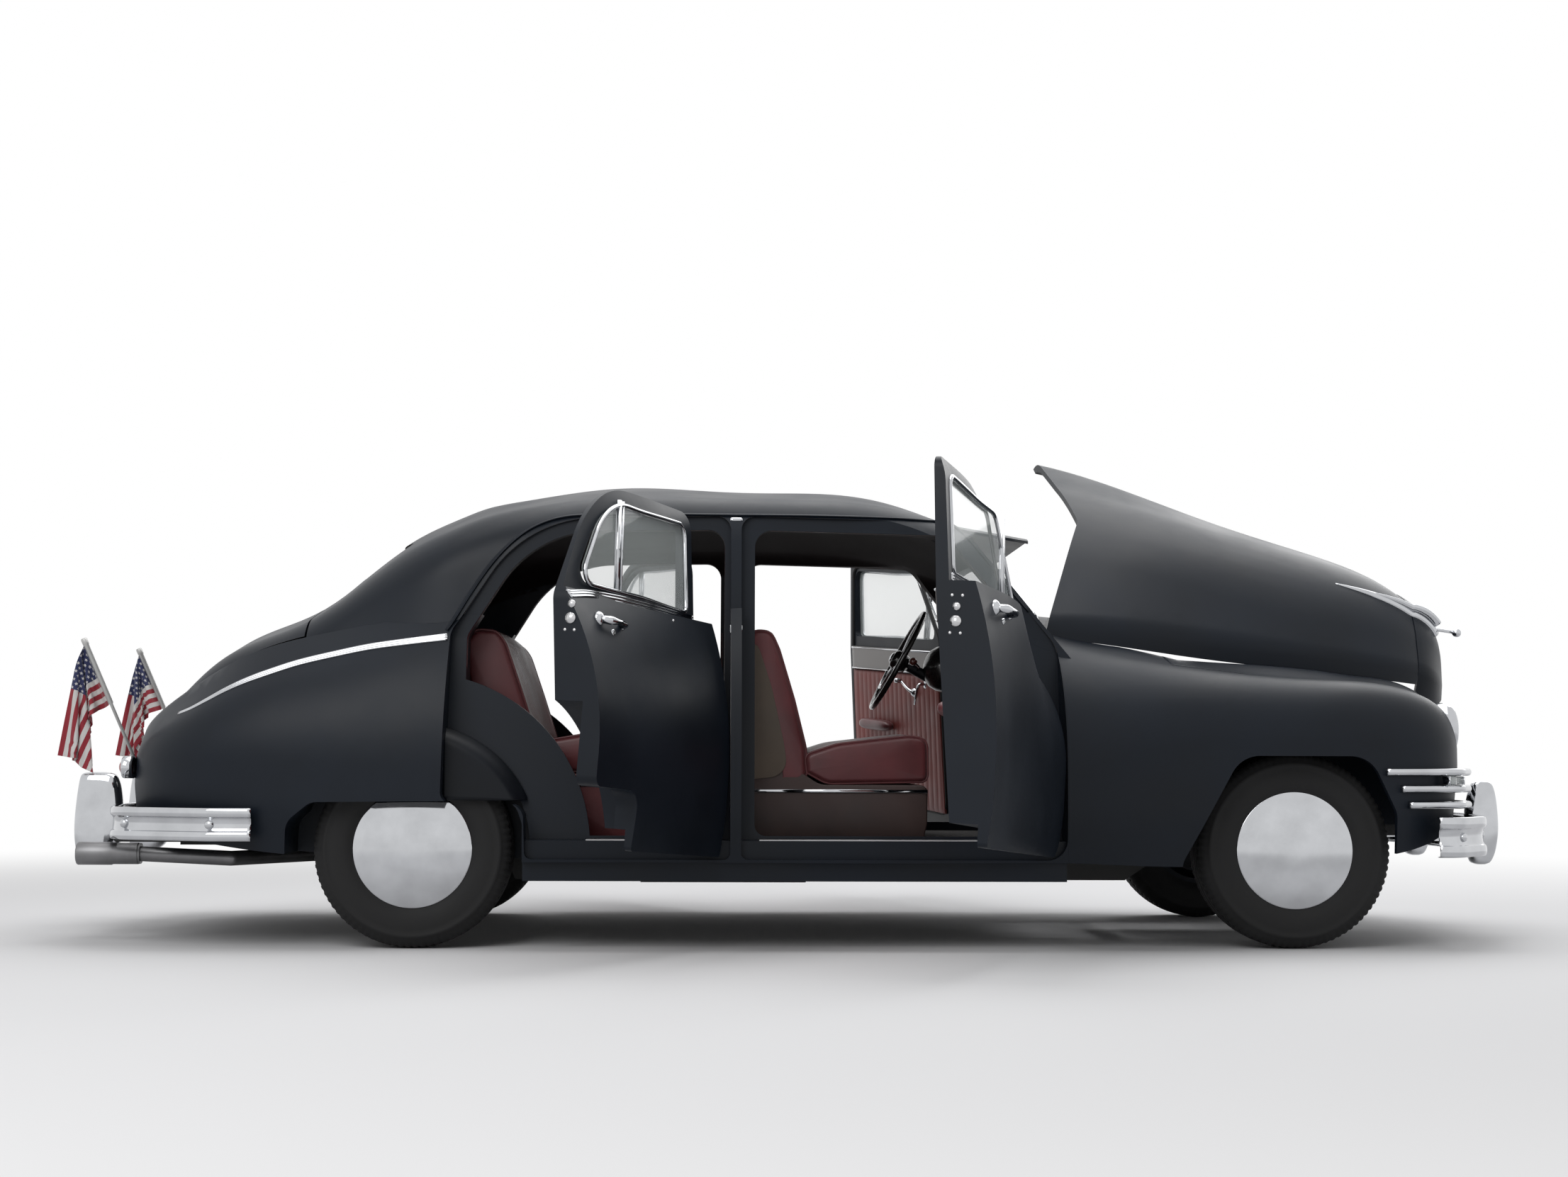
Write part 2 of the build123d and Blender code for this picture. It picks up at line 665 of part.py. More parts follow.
suspension = side_suspension + mirror_y(side_suspension)
suspension += block(front_axle_x - 54, front_axle_x + 54, -rail_outer_y + 20, rail_outer_y - 20, 265, 375)
nodes["front_suspension"] = suspension

# Knuckles: upright between the arms and the spindle the wheel turns on
spindle_reach = 66.0
wheel_y_front = track_front / 2
wheel_y_rear = track_rear / 2
knuckle = block(front_axle_x - 32, front_axle_x + 32, -kingpin_y - 22, -kingpin_y + 22, *knuckle_z)
knuckle += rod(
    (front_axle_x, -kingpin_y, axle_z), (front_axle_x, -wheel_y_front - spindle_reach, axle_z),
    spindle_radius
)
knuckle += block(front_axle_x - 150, front_axle_x - 20, -kingpin_y - 12, -kingpin_y + 12, 392, 412)
for z_low, z_high in (
    (knuckle_z[0], knuckle_z[0] + pin_reach + 3),
    (knuckle_z[1] - pin_reach - 3, knuckle_z[1]),
):
    knuckle -= rod(
        (front_axle_x, -kingpin_y, z_low), (front_axle_x, -kingpin_y, z_high),
        kingpin_radius + running_clearance
    )
nodes["knuckle_right"] = knuckle
nodes["knuckle_left"] = mirror_y(knuckle)

# Rear axle with its springs
axle_tube_radius = 38.0
half_axle = rod((rear_axle_x, 0, axle_z), (rear_axle_x, -wheel_y_rear + 70, axle_z), axle_tube_radius)
half_axle += rod(
    (rear_axle_x, 0, axle_z), (rear_axle_x, -wheel_y_rear - spindle_reach, axle_z), spindle_radius
)
half_axle += block(rear_axle_x - 560, rear_axle_x + 120, -575, -515, 372, 398)
half_axle += block(rear_axle_x - 60, rear_axle_x + 60, -580, -510, 340, 380)
rear_axle = half_axle + mirror_y(half_axle) + Pos(rear_axle_x, 0, axle_z) * Sphere(130)
nodes["rear_axle"] = rear_axle

# Wheels: rim, domed cover as the web, hub and brake drum in one; tyres round them
hub_radius = 45.0
drum_radius = 150.0
drum_wall = 10.0
drum_depth = 62.0
rim_half = 74.0
rim_wall = 12.0
cover_edge = 62.0
cover_wall = 7.0


def wheel_plane(x, y):
    """The half plane a wheel's profile lies in: u is the radius, v runs outboard on the right side."""
    return Plane(origin=(x, y, axle_z), x_dir=(0, 0, 1), z_dir=(1, 0, 0))


def turned(x, y, corners):
    """A profile (radius, outboard, corner radius) turned about a wheel's axis."""
    return revolve(face_on(wheel_plane(x, y), corners), Axis((x, y, axle_z), (0, 1, 0)), 360)


def wheel_at(x, y):
    """A right-hand wheel with its centre plane at y."""
    wheel = turned(x, y, [
        (rim_radius - rim_wall, -rim_half - 5, 0),
        (cover_radius, -rim_half - 5, 3),
        (cover_radius, -rim_half, 0),
        (rim_radius, -rim_half, 0),
        (rim_radius, rim_half, 0),
        (cover_radius, rim_half, 0),
        (cover_radius, rim_half + 5, 3),
        (rim_radius - rim_wall, rim_half + 5, 0),
    ])
    wheel += turned(x, y, [
        (0.0, cover_crown - cover_wall, 0),
        (120.0, cover_crown - cover_wall - 4, 300),
        (rim_radius - 6, cover_edge - cover_wall, 0),
        (rim_radius - 6, cover_edge, 0),
        (120.0, cover_crown - 4, 300),
        (0.0, cover_crown, 0),
    ])
    wheel += turned(x, y, [
        (spindle_radius + running_clearance, -drum_depth + 4, 0),
        (hub_radius, -drum_depth + 4, 0),
        (hub_radius, -4, 0),
        (drum_radius - drum_wall, -4, 0),
        (drum_radius - drum_wall, -drum_depth, 0),
        (drum_radius, -drum_depth, 0),
        (drum_radius, 8, 4),
        (hub_radius, 8, 0),
        (hub_radius, cover_crown - cover_wall, 0),
        (0, cover_crown - cover_wall, 0),
        (0, spindle_reach + 5, 0),
        (spindle_radius + running_clearance, spindle_reach + 5, 0),
    ])
    return wheel


def tyre_at(x, y):
    """A tyre round the wheel whose centre plane is at y."""
    half_width = tyre_width / 2
    inner = rim_radius + seat_gap
    bead_y = rim_half - seat_gap
    half = [
        (inner, bead_y, 0),
        (cover_radius + seat_gap, bead_y, 0),
        (222, half_width - 5, 0),
        (244, half_width, 0),
        (292, half_width, 0),
        (318, half_width - 7, 0),
        (334, half_width - 21, 0),
        (tyre_radius, half_width - 34, 0),
    ]
    return turned(x, y, half + [(r, -v, 0) for r, v, _ in reversed(half)])


for place, x, y in (("front", front_axle_x, wheel_y_front), ("rear", rear_axle_x, wheel_y_rear)):
    wheel = wheel_at(x, -y)
    tyre = tyre_at(x, -y)
    nodes[f"wheel_{place}_right"] = wheel
    nodes[f"wheel_{place}_left"] = mirror_y(wheel)
    nodes[f"tyre_{place}_right"] = tyre
    nodes[f"tyre_{place}_left"] = mirror_y(tyre)

# Exhaust: pipe, muffler and straight tip
pipe_radius = 26.0
tip_radius = 36.0
pipe_points = (
    (860, -250, 282), (-1215, -250, 282), (-1370, -300, 446), (-1730, -300, 446), (-1950, -300, 296),
    (-2180, -650, 296), (-2500, -650, 311),
)
exhaust = Part()
for start, end in zip(pipe_points, pipe_points[1:]):
    exhaust += rod(start, end, pipe_radius)
    exhaust += Pos(*end) * Sphere(pipe_radius)
exhaust += rod((-150, -250, 258), (-760, -250, 258), 65)
exhaust += rod((-2491, -650, 312), (-2709, -650, 312), tip_radius)
exhaust -= rod((-2510, -650, 312), (-2712, -650, 312), tip_radius - 4)
nodes["exhaust"] = exhaust


# Bumpers: a wrapped bar with tall guards, on brackets from the frame
def wrapped_bar(outline, wall, x_low, x_high, z_low, z_high):
    """A bar that follows a plan outline, wall thick, kept between x_low and x_high."""
    face = face_on(Plane.XY.offset(z_low), mirrored_plan(outline))
    inner = offset(face, -wall)
    band = extrude(face, z_high - z_low, dir=(0, 0, 1)) - extrude(inner, z_high - z_low, dir=(0, 0, 1))
    return band & block(x_low, x_high, -1100, 1100, z_low, z_high)


guard_y = 380.0
guard_half = 36.0
front_bumper = wrapped_bar(
    [(1800, 948, 0), (2060, 948, 90), (2215, 770, 180), (2306, 380, 500), (2330, 0, 0)], 24, 1990, 2400,
    321, 459
)
guard = side_prism(
    [(2270, 273, 0), (2372, 273, 45), (front_reach, 400, 120), (2382, 579, 40), (2312, 579, 25),
    (2285, 460, 20)],
    -guard_y - guard_half,
    -guard_y + guard_half,
)
front_bumper += guard + mirror_y(guard)
bracket = block(rail_front_x + seat_gap, 2302, -425, -390, 385, 415)
front_bumper += bracket + mirror_y(bracket)
nodes["front_bumper"] = front_bumper

rear_bumper = wrapped_bar(
    [(-1900, 948, 0), (-2200, 948, 140), (-2560, 800, 220), (-2640, 380, 400), (-2662, 0, 0)],
    24, -2700, -2055, 368, 476,
)
guard = side_prism(
    [(-2610, 268, 0), (-2768, 268, 50), (-2796, 400, 120), (-2772, 592, 45), (-2660, 592, 30),
    (-2620, 470, 20)],
    -guard_y - guard_half,
    -guard_y + guard_half,
)
rear_bumper += guard + mirror_y(guard)
bracket = block(-2640, rail_rear_x - seat_gap, -440, -395, 340, 376)
rear_bumper += bracket + mirror_y(bracket)
nodes["rear_bumper"] = rear_bumper

# Seats
seat_half_width = 655.0
front_seat = side_prism(
    [(-300, floor_z + seat_gap, 0), (262, floor_z + seat_gap, 0), (262, 560, 10), (270, 735, 60),
    (-60, 706, 10),
     (-242, 1078, 55), (-340, 1112, 45), (-402, 1060, 55), (-262, 560, 20)],
    -seat_half_width,
    seat_half_width,
)
nodes["front_seat"] = front_seat
rear_seat_half_width = 620.0
rear_seat = side_prism(
    [(-1180, floor_z + seat_gap, 0), (-800, floor_z + seat_gap, 0), (-800, 560, 10), (-766, 600, 20),
    (-770, 745, 60),
    (-1112, 712, 10), (-1232, 1068, 60), (-1330, 1112, 45), (-1392, 1056, 45), (-1315, 560, 15),
    (-1180, 560, 0)],
    -rear_seat_half_width,
    rear_seat_half_width,
)
rear_seat += block(-1700, -1350, -rear_seat_half_width, rear_seat_half_width, 1080, 1096)
nodes["rear_seat"] = rear_seat

# Dashboard, steering column and wheel
column_angle = 28.9
steering_lock = 30.0
column_y = 350.0
steering_centre = Vector(246, column_y, 1042)
column_down = Vector(cos(radians(column_angle)), 0, -sin(radians(column_angle)))
column_radius = 21.0
shaft_radius = 9.0
dashboard = side_prism(
    [(480, 900, 20), (432, 1000, 40), (440, 1090, 30), (520, 1108, 20), (cowl_rear_x - seat_gap, 1108, 0),
     (cowl_rear_x - seat_gap, 900, 0)],
    -900,
    900,
)
dashboard &= inside_of(door_inner_line, wall_inner_step + seat_gap, 400, 700)
column_top = steering_centre + column_down * 48
column_foot = steering_centre + column_down * ((firewall_x - seat_gap - 246) / column_down.X)
column = rod(column_top, column_foot + column_down * 60, column_radius)
column += rod(steering_centre + column_down * 8, column_foot, shaft_radius)
column &= block(0, firewall_x - seat_gap, -900, 900, 0, 1400)
pillar_room = block(550, cowl_rear_x, 700, 900, 1080, 1120)
dashboard -= pillar_room
dashboard -= mirror_y(pillar_room)
dashboard -= rod(column_top, column_foot + column_down * 60, column_radius + seat_gap)
nodes["dashboard"] = dashboard
nodes["steering_column"] = column

grip_radius = 11.0
wheel_frame = Plane(origin=steering_centre, x_dir=(0, 1, 0), z_dir=-column_down)
steering_wheel = wheel_frame * Torus(449 / 2 - grip_radius, grip_radius)
steering_wheel += rod(steering_centre + column_down * 30, steering_centre - column_down * 14, 36)
spoke_root = 30.0
spoke_tip = 206.0
for spoke_angle in (0, 120, 240):
    spoke = Pos(0, -(spoke_root + spoke_tip) / 2, 0) * Box(28, spoke_tip - spoke_root, 9)
    steering_wheel += wheel_frame * Rot(0, 0, spoke_angle) * spoke
steering_wheel -= rod(
    steering_centre + column_down * 4, steering_centre + column_down * 60, shaft_radius + running_clearance
)
nodes["steering_wheel"] = steering_wheel

# Visor over the windshield: two sloping plates that meet on the centre line
visor_rise = Vector(716, 0, 1500) - Vector(338, 0, 1566)
visor_run = Vector(629, -600, 1436) - Vector(716, 0, 1500)
visor_up = visor_run.cross(visor_rise).normalized()
visor_plate = slab_on(Plane(origin=(716, 0, 1490), x_dir=visor_rise, z_dir=visor_up), 10)
visor_plate &= plan_prism(
    [(716, 0, 0), (632, -600, 40), (560, -690, 60), (430, -690, 60), (300, -560, 0), (300, 0, 0)], 1300, 1650
)
visor_plate -= upper_form(seat_gap)
visor = visor_plate + mirror_y(visor_plate)
nodes["visor"] = visor

# Tail lamps, plate holder, flag poles and flags
tail_lamp = rod((-2515 - seat_gap, -tail_lamp_y, tail_lamp_z),
    (tail_lamp_rear_x, -tail_lamp_y, tail_lamp_z), tail_lamp_radius)
nodes["tail_lamps"] = tail_lamp + mirror_y(tail_lamp)
plate_holder = block(-2556, -2540 - seat_gap, -160, 160, 500, 640)
for y in (-plate_hole_spacing / 2, plate_hole_spacing / 2):
    plate_holder -= rod((-2600, y, plate_hole_z), (-2450, y, plate_hole_z), plate_hole_radius)
nodes["plate_holder"] = plate_holder
pole_y = 400.0
pole_radius = 6.0
pole_foot = (-2556.0, -pole_y, 575.0)
pole_top = (-2774.0, -pole_y, 1065.0)
pole = rod(pole_foot, pole_top, pole_radius) + Pos(*pole_top) * Sphere(11)
pole += block(-2575, -2540 - seat_gap, -pole_y - 14, -pole_y + 14, 560, 590)
nodes["flag_poles"] = pole + mirror_y(pole)
flag_outline = [(-2768, 1046, 0), (-2830, 900, 150), (-rear_reach, 690, 10), (-2835, 640, 30),
    (-2745, 800, 60)]
flag_y = pole_y - pole_radius - seat_gap
flag = side_prism(flag_outline, -flag_y, -flag_y + 9)
nodes["flag_right"] = flag
nodes["flag_left"] = mirror_y(flag)

if __name__ == "__main__":
    os.makedirs("parts", exist_ok=True)
    row_shift = Pos((rear_reach - front_reach) / 2, 0, 0)
    for name, shape in nodes.items():
        solids = shape.solids()
        placed = [row_shift * solid for solid in solids]
        piece = placed[0] if len(placed) == 1 else Compound(children=placed)
        export_step(piece, os.path.join("parts", name + ".step"), write_pcurves=False)
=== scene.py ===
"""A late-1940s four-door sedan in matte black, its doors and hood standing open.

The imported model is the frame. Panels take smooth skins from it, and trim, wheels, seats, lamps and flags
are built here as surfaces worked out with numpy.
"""

import json
import logging
import math
from dataclasses import dataclass
from enum import Enum
from typing import Iterable, Optional, Sequence

import bmesh
import bpy
import numpy as np
from mathutils import Matrix, Vector
from mathutils.bvhtree import BVHTree

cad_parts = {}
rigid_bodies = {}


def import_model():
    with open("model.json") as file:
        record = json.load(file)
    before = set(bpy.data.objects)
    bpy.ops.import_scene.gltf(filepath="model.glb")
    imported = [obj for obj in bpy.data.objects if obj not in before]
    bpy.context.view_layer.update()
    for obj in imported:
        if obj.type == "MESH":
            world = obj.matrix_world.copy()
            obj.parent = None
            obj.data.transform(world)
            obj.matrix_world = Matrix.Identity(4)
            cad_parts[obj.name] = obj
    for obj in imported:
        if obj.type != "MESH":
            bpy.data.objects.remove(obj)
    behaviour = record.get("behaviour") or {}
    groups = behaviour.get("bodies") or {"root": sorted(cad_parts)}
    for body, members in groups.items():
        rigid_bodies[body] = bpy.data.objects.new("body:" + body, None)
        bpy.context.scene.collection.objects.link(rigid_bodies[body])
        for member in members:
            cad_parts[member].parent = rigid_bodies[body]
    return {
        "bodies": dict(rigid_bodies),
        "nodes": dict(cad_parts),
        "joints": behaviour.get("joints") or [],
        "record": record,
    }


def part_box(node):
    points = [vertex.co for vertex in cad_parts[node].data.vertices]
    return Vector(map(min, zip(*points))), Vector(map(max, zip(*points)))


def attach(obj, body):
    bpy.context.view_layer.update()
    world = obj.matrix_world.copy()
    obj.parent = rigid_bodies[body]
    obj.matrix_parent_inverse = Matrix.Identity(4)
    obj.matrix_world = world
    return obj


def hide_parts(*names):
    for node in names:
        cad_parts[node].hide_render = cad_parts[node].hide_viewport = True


LOG = logging.getLogger("sedan")
# The middle of the wheelbase in the row frame, in metres.
SHIFT = 0.242
# Rays at the car's right side start this far out, in millimetres, and go inwards.
RAY_START = 1300.0
INWARD = Vector((0, 1, 0))
# How near two points of a mesh merge and how short an edge may be, for skins and for new pieces, in metres.
SKIN_MERGE, SKIN_SLIVER = 0.00002, 0.00001
PIECE_MERGE, PIECE_SLIVER = 1e-6, 1e-7
# Roof faces whose normal falls more than this are headliner.
LINING_SLOPE = -0.2
# The side glass's foot, its height in millimetres and how far it leans in over that height in metres.
GLASS_FOOT_Z, GLASS_FOOT_Y = 1105.0, -0.8005
GLASS_HEIGHT, GLASS_LEAN = 355.0, 0.036
# The middle of a door's edge across the car, in millimetres.
LATCH_Y = -838.0


class Side(Enum):
    """The car's two sides, with the sign of Y."""

    RIGHT = -1
    LEFT = 1

    @property
    def label(self) -> str:
        """The side's name as the model's nodes spell it."""
        return self.name.lower()


class Place(Enum):
    """Front or rear."""

    FRONT = "front"
    REAR = "rear"


# Finishes


MaterialParts = tuple[bpy.types.Material, bpy.types.Nodes, bpy.types.NodeLinks, bpy.types.Node]


def new_material(name: str) -> MaterialParts:
    """An empty node material.

    Args:
        name: the material's name.

    Returns:
        The material, its nodes, its links and its shader.
    """
    material = bpy.data.materials.new(name)
    material.use_nodes = True
    nodes, links = material.node_tree.nodes, material.node_tree.links
    return material, nodes, links, nodes["Principled BSDF"]


def add_node(nodes: bpy.types.Nodes, kind: str, **inputs: object) -> bpy.types.Node:
    """A shader node with some inputs set.

    Args:
        nodes: the tree's nodes.
        kind: the node's type without "ShaderNode".
        inputs: values by input name, with _ for a blank.

    Returns:
        The node.
    """
    node = nodes.new("ShaderNode" + kind)
    set_inputs(node, **inputs)
    return node


def set_inputs(node: bpy.types.Node, **inputs: object) -> None:
    """Sets a node's inputs by name, with _ for a blank."""
    for name, value in inputs.items():
        node.inputs[name.replace("_", " ")].default_value = value


@dataclass(frozen=True)
class Finish:
    """A surface whose roughness and grain vary a little from place to place."""

    name: str
    color: tuple[float, float, float]
    roughness: float = 0.5
    metallic: float = 0.0
    specular: float = 0.5
    coat: float = 0.0
    coat_roughness: float = 0.1
    sheen: float = 0.0
    cloud_scale: float = 6.0
    cloud_depth: float = 0.12
    rough_depth: float = 0.08
    grain_scale: float = 400.0
    grain_bump: float = 0.0
    grain_height: float = 0.001

    def material(self) -> bpy.types.Material:
        """A clouded colour, clouded roughness and fine bump on Object coordinates."""
        found = bpy.data.materials.get(self.name)
        if found:
            return found
        material, nodes, links, shader = new_material(self.name)
        set_inputs(shader, Metallic=self.metallic, Specular_IOR_Level=self.specular, Coat_Weight=self.coat,
                   Coat_Roughness=self.coat_roughness, Sheen_Weight=self.sheen)
        place = add_node(nodes, "TexCoord")
        cloud = add_node(nodes, "TexNoise", Scale=self.cloud_scale, Detail=5)
        links.new(place.outputs["Object"], cloud.inputs["Vector"])
        ramp = add_node(nodes, "ValToRGB")
        dark = [c * (1 - self.cloud_depth) for c in self.color]
        light = [min(1.0, c * (1 + self.cloud_depth)) for c in self.color]
        ramp.color_ramp.elements[0].position, ramp.color_ramp.elements[1].position = 0.3, 0.7
        ramp.color_ramp.elements[0].color = (*dark, 1)
        ramp.color_ramp.elements[1].color = (*light, 1)
        links.new(cloud.outputs["Fac"], ramp.inputs["Fac"])
        links.new(ramp.outputs["Color"], shader.inputs["Base Color"])
        spread = add_node(nodes, "MapRange", From_Min=0.3, From_Max=0.7,
                          To_Min=max(0.02, self.roughness - self.rough_depth),
                          To_Max=min(1.0, self.roughness + self.rough_depth))
        links.new(cloud.outputs["Fac"], spread.inputs["Value"])
        links.new(spread.outputs["Result"], shader.inputs["Roughness"])
        if self.grain_bump:
            grain = add_node(nodes, "TexNoise", Scale=self.grain_scale, Detail=3)
            links.new(place.outputs["Object"], grain.inputs["Vector"])
            bump = add_node(nodes, "Bump", Strength=self.grain_bump, Distance=self.grain_height)
            links.new(grain.outputs["Fac"], bump.inputs["Height"])
            links.new(bump.outputs["Normal"], shader.inputs["Normal"])
        return material


@dataclass(frozen=True)
class GlassFinish:
    """Thin clear glass with a faint tint."""

    name: str = "window_glass"
    color: tuple[float, float, float] = (0.82, 0.88, 0.87)
    alpha: float = 0.22

    def material(self) -> bpy.types.Material:
        """A tinted sheet that lets most light straight through and reflects at its surface."""
        found = bpy.data.materials.get(self.name)
        if found:
            return found
        material, nodes, links, shader = new_material(self.name)
        set_inputs(shader, Base_Color=(*self.color, 1), Alpha=self.alpha)
        haze = add_node(nodes, "TexNoise", Scale=3.0)
        links.new(add_node(nodes, "TexCoord").outputs["Object"], haze.inputs["Vector"])
        spread = add_node(nodes, "MapRange", To_Min=0.02, To_Max=0.07)
        links.new(haze.outputs["Fac"], spread.inputs["Value"])
        links.new(spread.outputs["Result"], shader.inputs["Roughness"])
        return material


# The body paint is black; the slight blue in its colour is a painted reflection of the sky.
PAINT = Finish("satin_black_paint", (0.0050, 0.0078, 0.0130), 0.42, 0, 0.2, cloud_scale=3, cloud_depth=0.2,
               rough_depth=0.06, grain_bump=0.05, grain_scale=900, grain_height=0.0004)
JAMB_PAINT = Finish("jamb_black_paint", (0.0045, 0.006, 0.009), 0.42, 0, 0.2, cloud_depth=0.25)
CHROME = Finish("polished_chrome", (0.52, 0.53, 0.55), 0.07, 1.0, 0.5, cloud_scale=12, cloud_depth=0.08,
                rough_depth=0.04)
DULL_CHROME = Finish("worn_chrome", (0.55, 0.55, 0.56), 0.2, 1.0, 0.5, cloud_scale=14, cloud_depth=0.15)
FRAME_PAINT = Finish("chassis_black", (0.02, 0.02, 0.02), 0.62, cloud_depth=0.4, grain_bump=0.2,
                     grain_scale=120)
CAST_IRON = Finish("cast_iron", (0.055, 0.053, 0.05), 0.7, 0.5, cloud_depth=0.35, grain_bump=0.35,
                   grain_scale=160)
DARK_STEEL = Finish("dark_steel_pipe", (0.2, 0.2, 0.205), 0.4, 0.9, cloud_depth=0.3)
ALUMINIUM = Finish("ribbed_aluminium", (0.45, 0.45, 0.46), 0.38, 0.9, cloud_depth=0.15)
MAROON = Finish("maroon_leather", (0.085, 0.011, 0.014), 0.42, 0, 0.5, sheen=0.15, cloud_depth=0.25,
                grain_bump=0.25, grain_scale=700)
CARPET = Finish("dark_carpet", (0.03, 0.026, 0.026), 0.95, sheen=0.3, cloud_depth=0.4, grain_bump=0.8,
                grain_scale=900, grain_height=0.003)
RUBBER = Finish("black_rubber", (0.014, 0.014, 0.0145), 0.75, 0, 0.3, cloud_depth=0.3, grain_bump=0.15)
HEADLINER = Finish("dark_headliner", (0.016, 0.012, 0.012), 0.95, 0, 0.1, sheen=0.1, grain_bump=0.5,
                   grain_scale=800)
BROWN_VINYL = Finish("brown_vinyl", (0.030, 0.016, 0.014), 0.5, 0, 0.45, cloud_depth=0.3, grain_bump=0.3,
                     grain_scale=600)
TAUPE_BOARD = Finish("taupe_board", (0.085, 0.066, 0.050), 0.75, sheen=0.1, cloud_depth=0.2, grain_bump=0.3,
                     grain_scale=500)
MAROON_CARD = Finish("maroon_card", (0.19, 0.042, 0.036), 0.5, 0, 0.45, cloud_depth=0.2, grain_bump=0.25,
                     grain_scale=700)
GREY_PAINT = Finish("grey_garnish", (0.16, 0.15, 0.145), 0.35, 0.3, 0.5, cloud_depth=0.12)
BROWN_KNOB = Finish("brown_knob", (0.09, 0.022, 0.016), 0.2, coat=0.6, cloud_depth=0.3)
SILVER = Finish("silver_paint", (0.50, 0.50, 0.49), 0.4, 0.35, cloud_depth=0.12)
GLASS = GlassFinish()
RED_LENS = Finish("red_lens", (0.25, 0.008, 0.008), 0.15, 0, 0.5, coat=0.5, grain_bump=0.3, grain_scale=200)
CLEAR_LENS = GlassFinish("lamp_lens", (0.8, 0.84, 0.84), 0.45)
WHEEL_RESIN = Finish("steering_resin", (0.012, 0.011, 0.011), 0.25, 0, 0.5, coat=0.4)


def painted(piece: bpy.types.Object, finish: Finish) -> bpy.types.Object:
    """Gives a piece one finish.

    Args:
        piece: the object.
        finish: its finish.

    Returns:
        The piece.
    """
    piece.data.materials.clear()
    piece.data.materials.append(finish.material())
    return piece


# Shapes


def mesh_piece(name: str, points: np.ndarray, faces: Sequence[Sequence[int]],
               smooth: bool = True) -> bpy.types.Object:
    """A new object from points and faces.

    Args:
        name: its name.
        points: an n by 3 array of places in metres.
        faces: the corner numbers of each face.
        smooth: whether its faces are shaded smooth.

    Returns:
        The object, linked to the scene.
    """
    mesh = bpy.data.meshes.new(name)
    mesh.from_pydata(np.asarray(points, float).reshape(-1, 3).tolist(), [], [list(f) for f in faces])
    mesh.update()
    if smooth:
        mesh.polygons.foreach_set("use_smooth", np.ones(len(mesh.polygons), bool))
    piece = bpy.data.objects.new(name, mesh)
    bpy.context.scene.collection.objects.link(piece)
    return piece


def grid_faces(rows: int, columns: int, close_rows: bool = False, close_columns: bool = False) -> np.ndarray:
    """The quads of a grid of points numbered row by row.

    Args:
        rows: how many rows.
        columns: how many points in a row.
        close_rows: whether the last row joins the first.
        close_columns: whether a row's last point joins its first.

    Returns:
        An n by 4 array of corner numbers.
    """
    row = np.arange(rows if close_rows else rows - 1)[:, None]
    column = np.arange(columns if close_columns else columns - 1)[None, :]
    next_row, next_column = (row + 1) % rows, (column + 1) % columns
    corners = (row * columns + column, next_row * columns + column, next_row * columns + next_column,
               row * columns + next_column)
    return np.stack([np.broadcast_to(c, np.broadcast_shapes(row.shape, column.shape)) for c in corners],
                    -1).reshape(-1, 4)


def end_caps(rows: int, columns: int) -> list[list[int]]:
    """The first and the last row of a grid of points, each as one face."""
    return [list(range(columns)), list(range((rows - 1) * columns, rows * columns))]


class FrameModel:
    """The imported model: its nodes, its bodies and how each moving body lies closed."""

    def __init__(self) -> None:
        """Loads the frame and reads its joints."""
        self.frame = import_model()
        self.nodes: dict[str, bpy.types.Object] = self.frame["nodes"]
        self.body_of_node = {n: b for b, ns in self.frame["record"]["behaviour"]["bodies"].items()
                             for n in ns}
        self.joint_of = {j["child"]: j for j in self.frame["joints"]}

    def closed_to_rest(self, body: str) -> Matrix:
        """The turn that takes a door or lid from closed to where it stands.

        Args:
            body: the body's name.

        Returns:
            A matrix in the row frame; identity for a body that stands closed.
        """
        joint = self.joint_of.get(body)
        if joint is None or "range_deg" not in joint or not (body.startswith("door") or body == "hood"):
            return Matrix.Identity(4)
        low, high = joint["range_deg"]
        closed = low if abs(low) > abs(high) else high
        pivot = Vector(joint["pos_m"])
        turn = Matrix.Rotation(math.radians(-closed), 4, Vector(joint["axis"]))
        return Matrix.Translation(pivot) @ turn @ Matrix.Translation(-pivot)


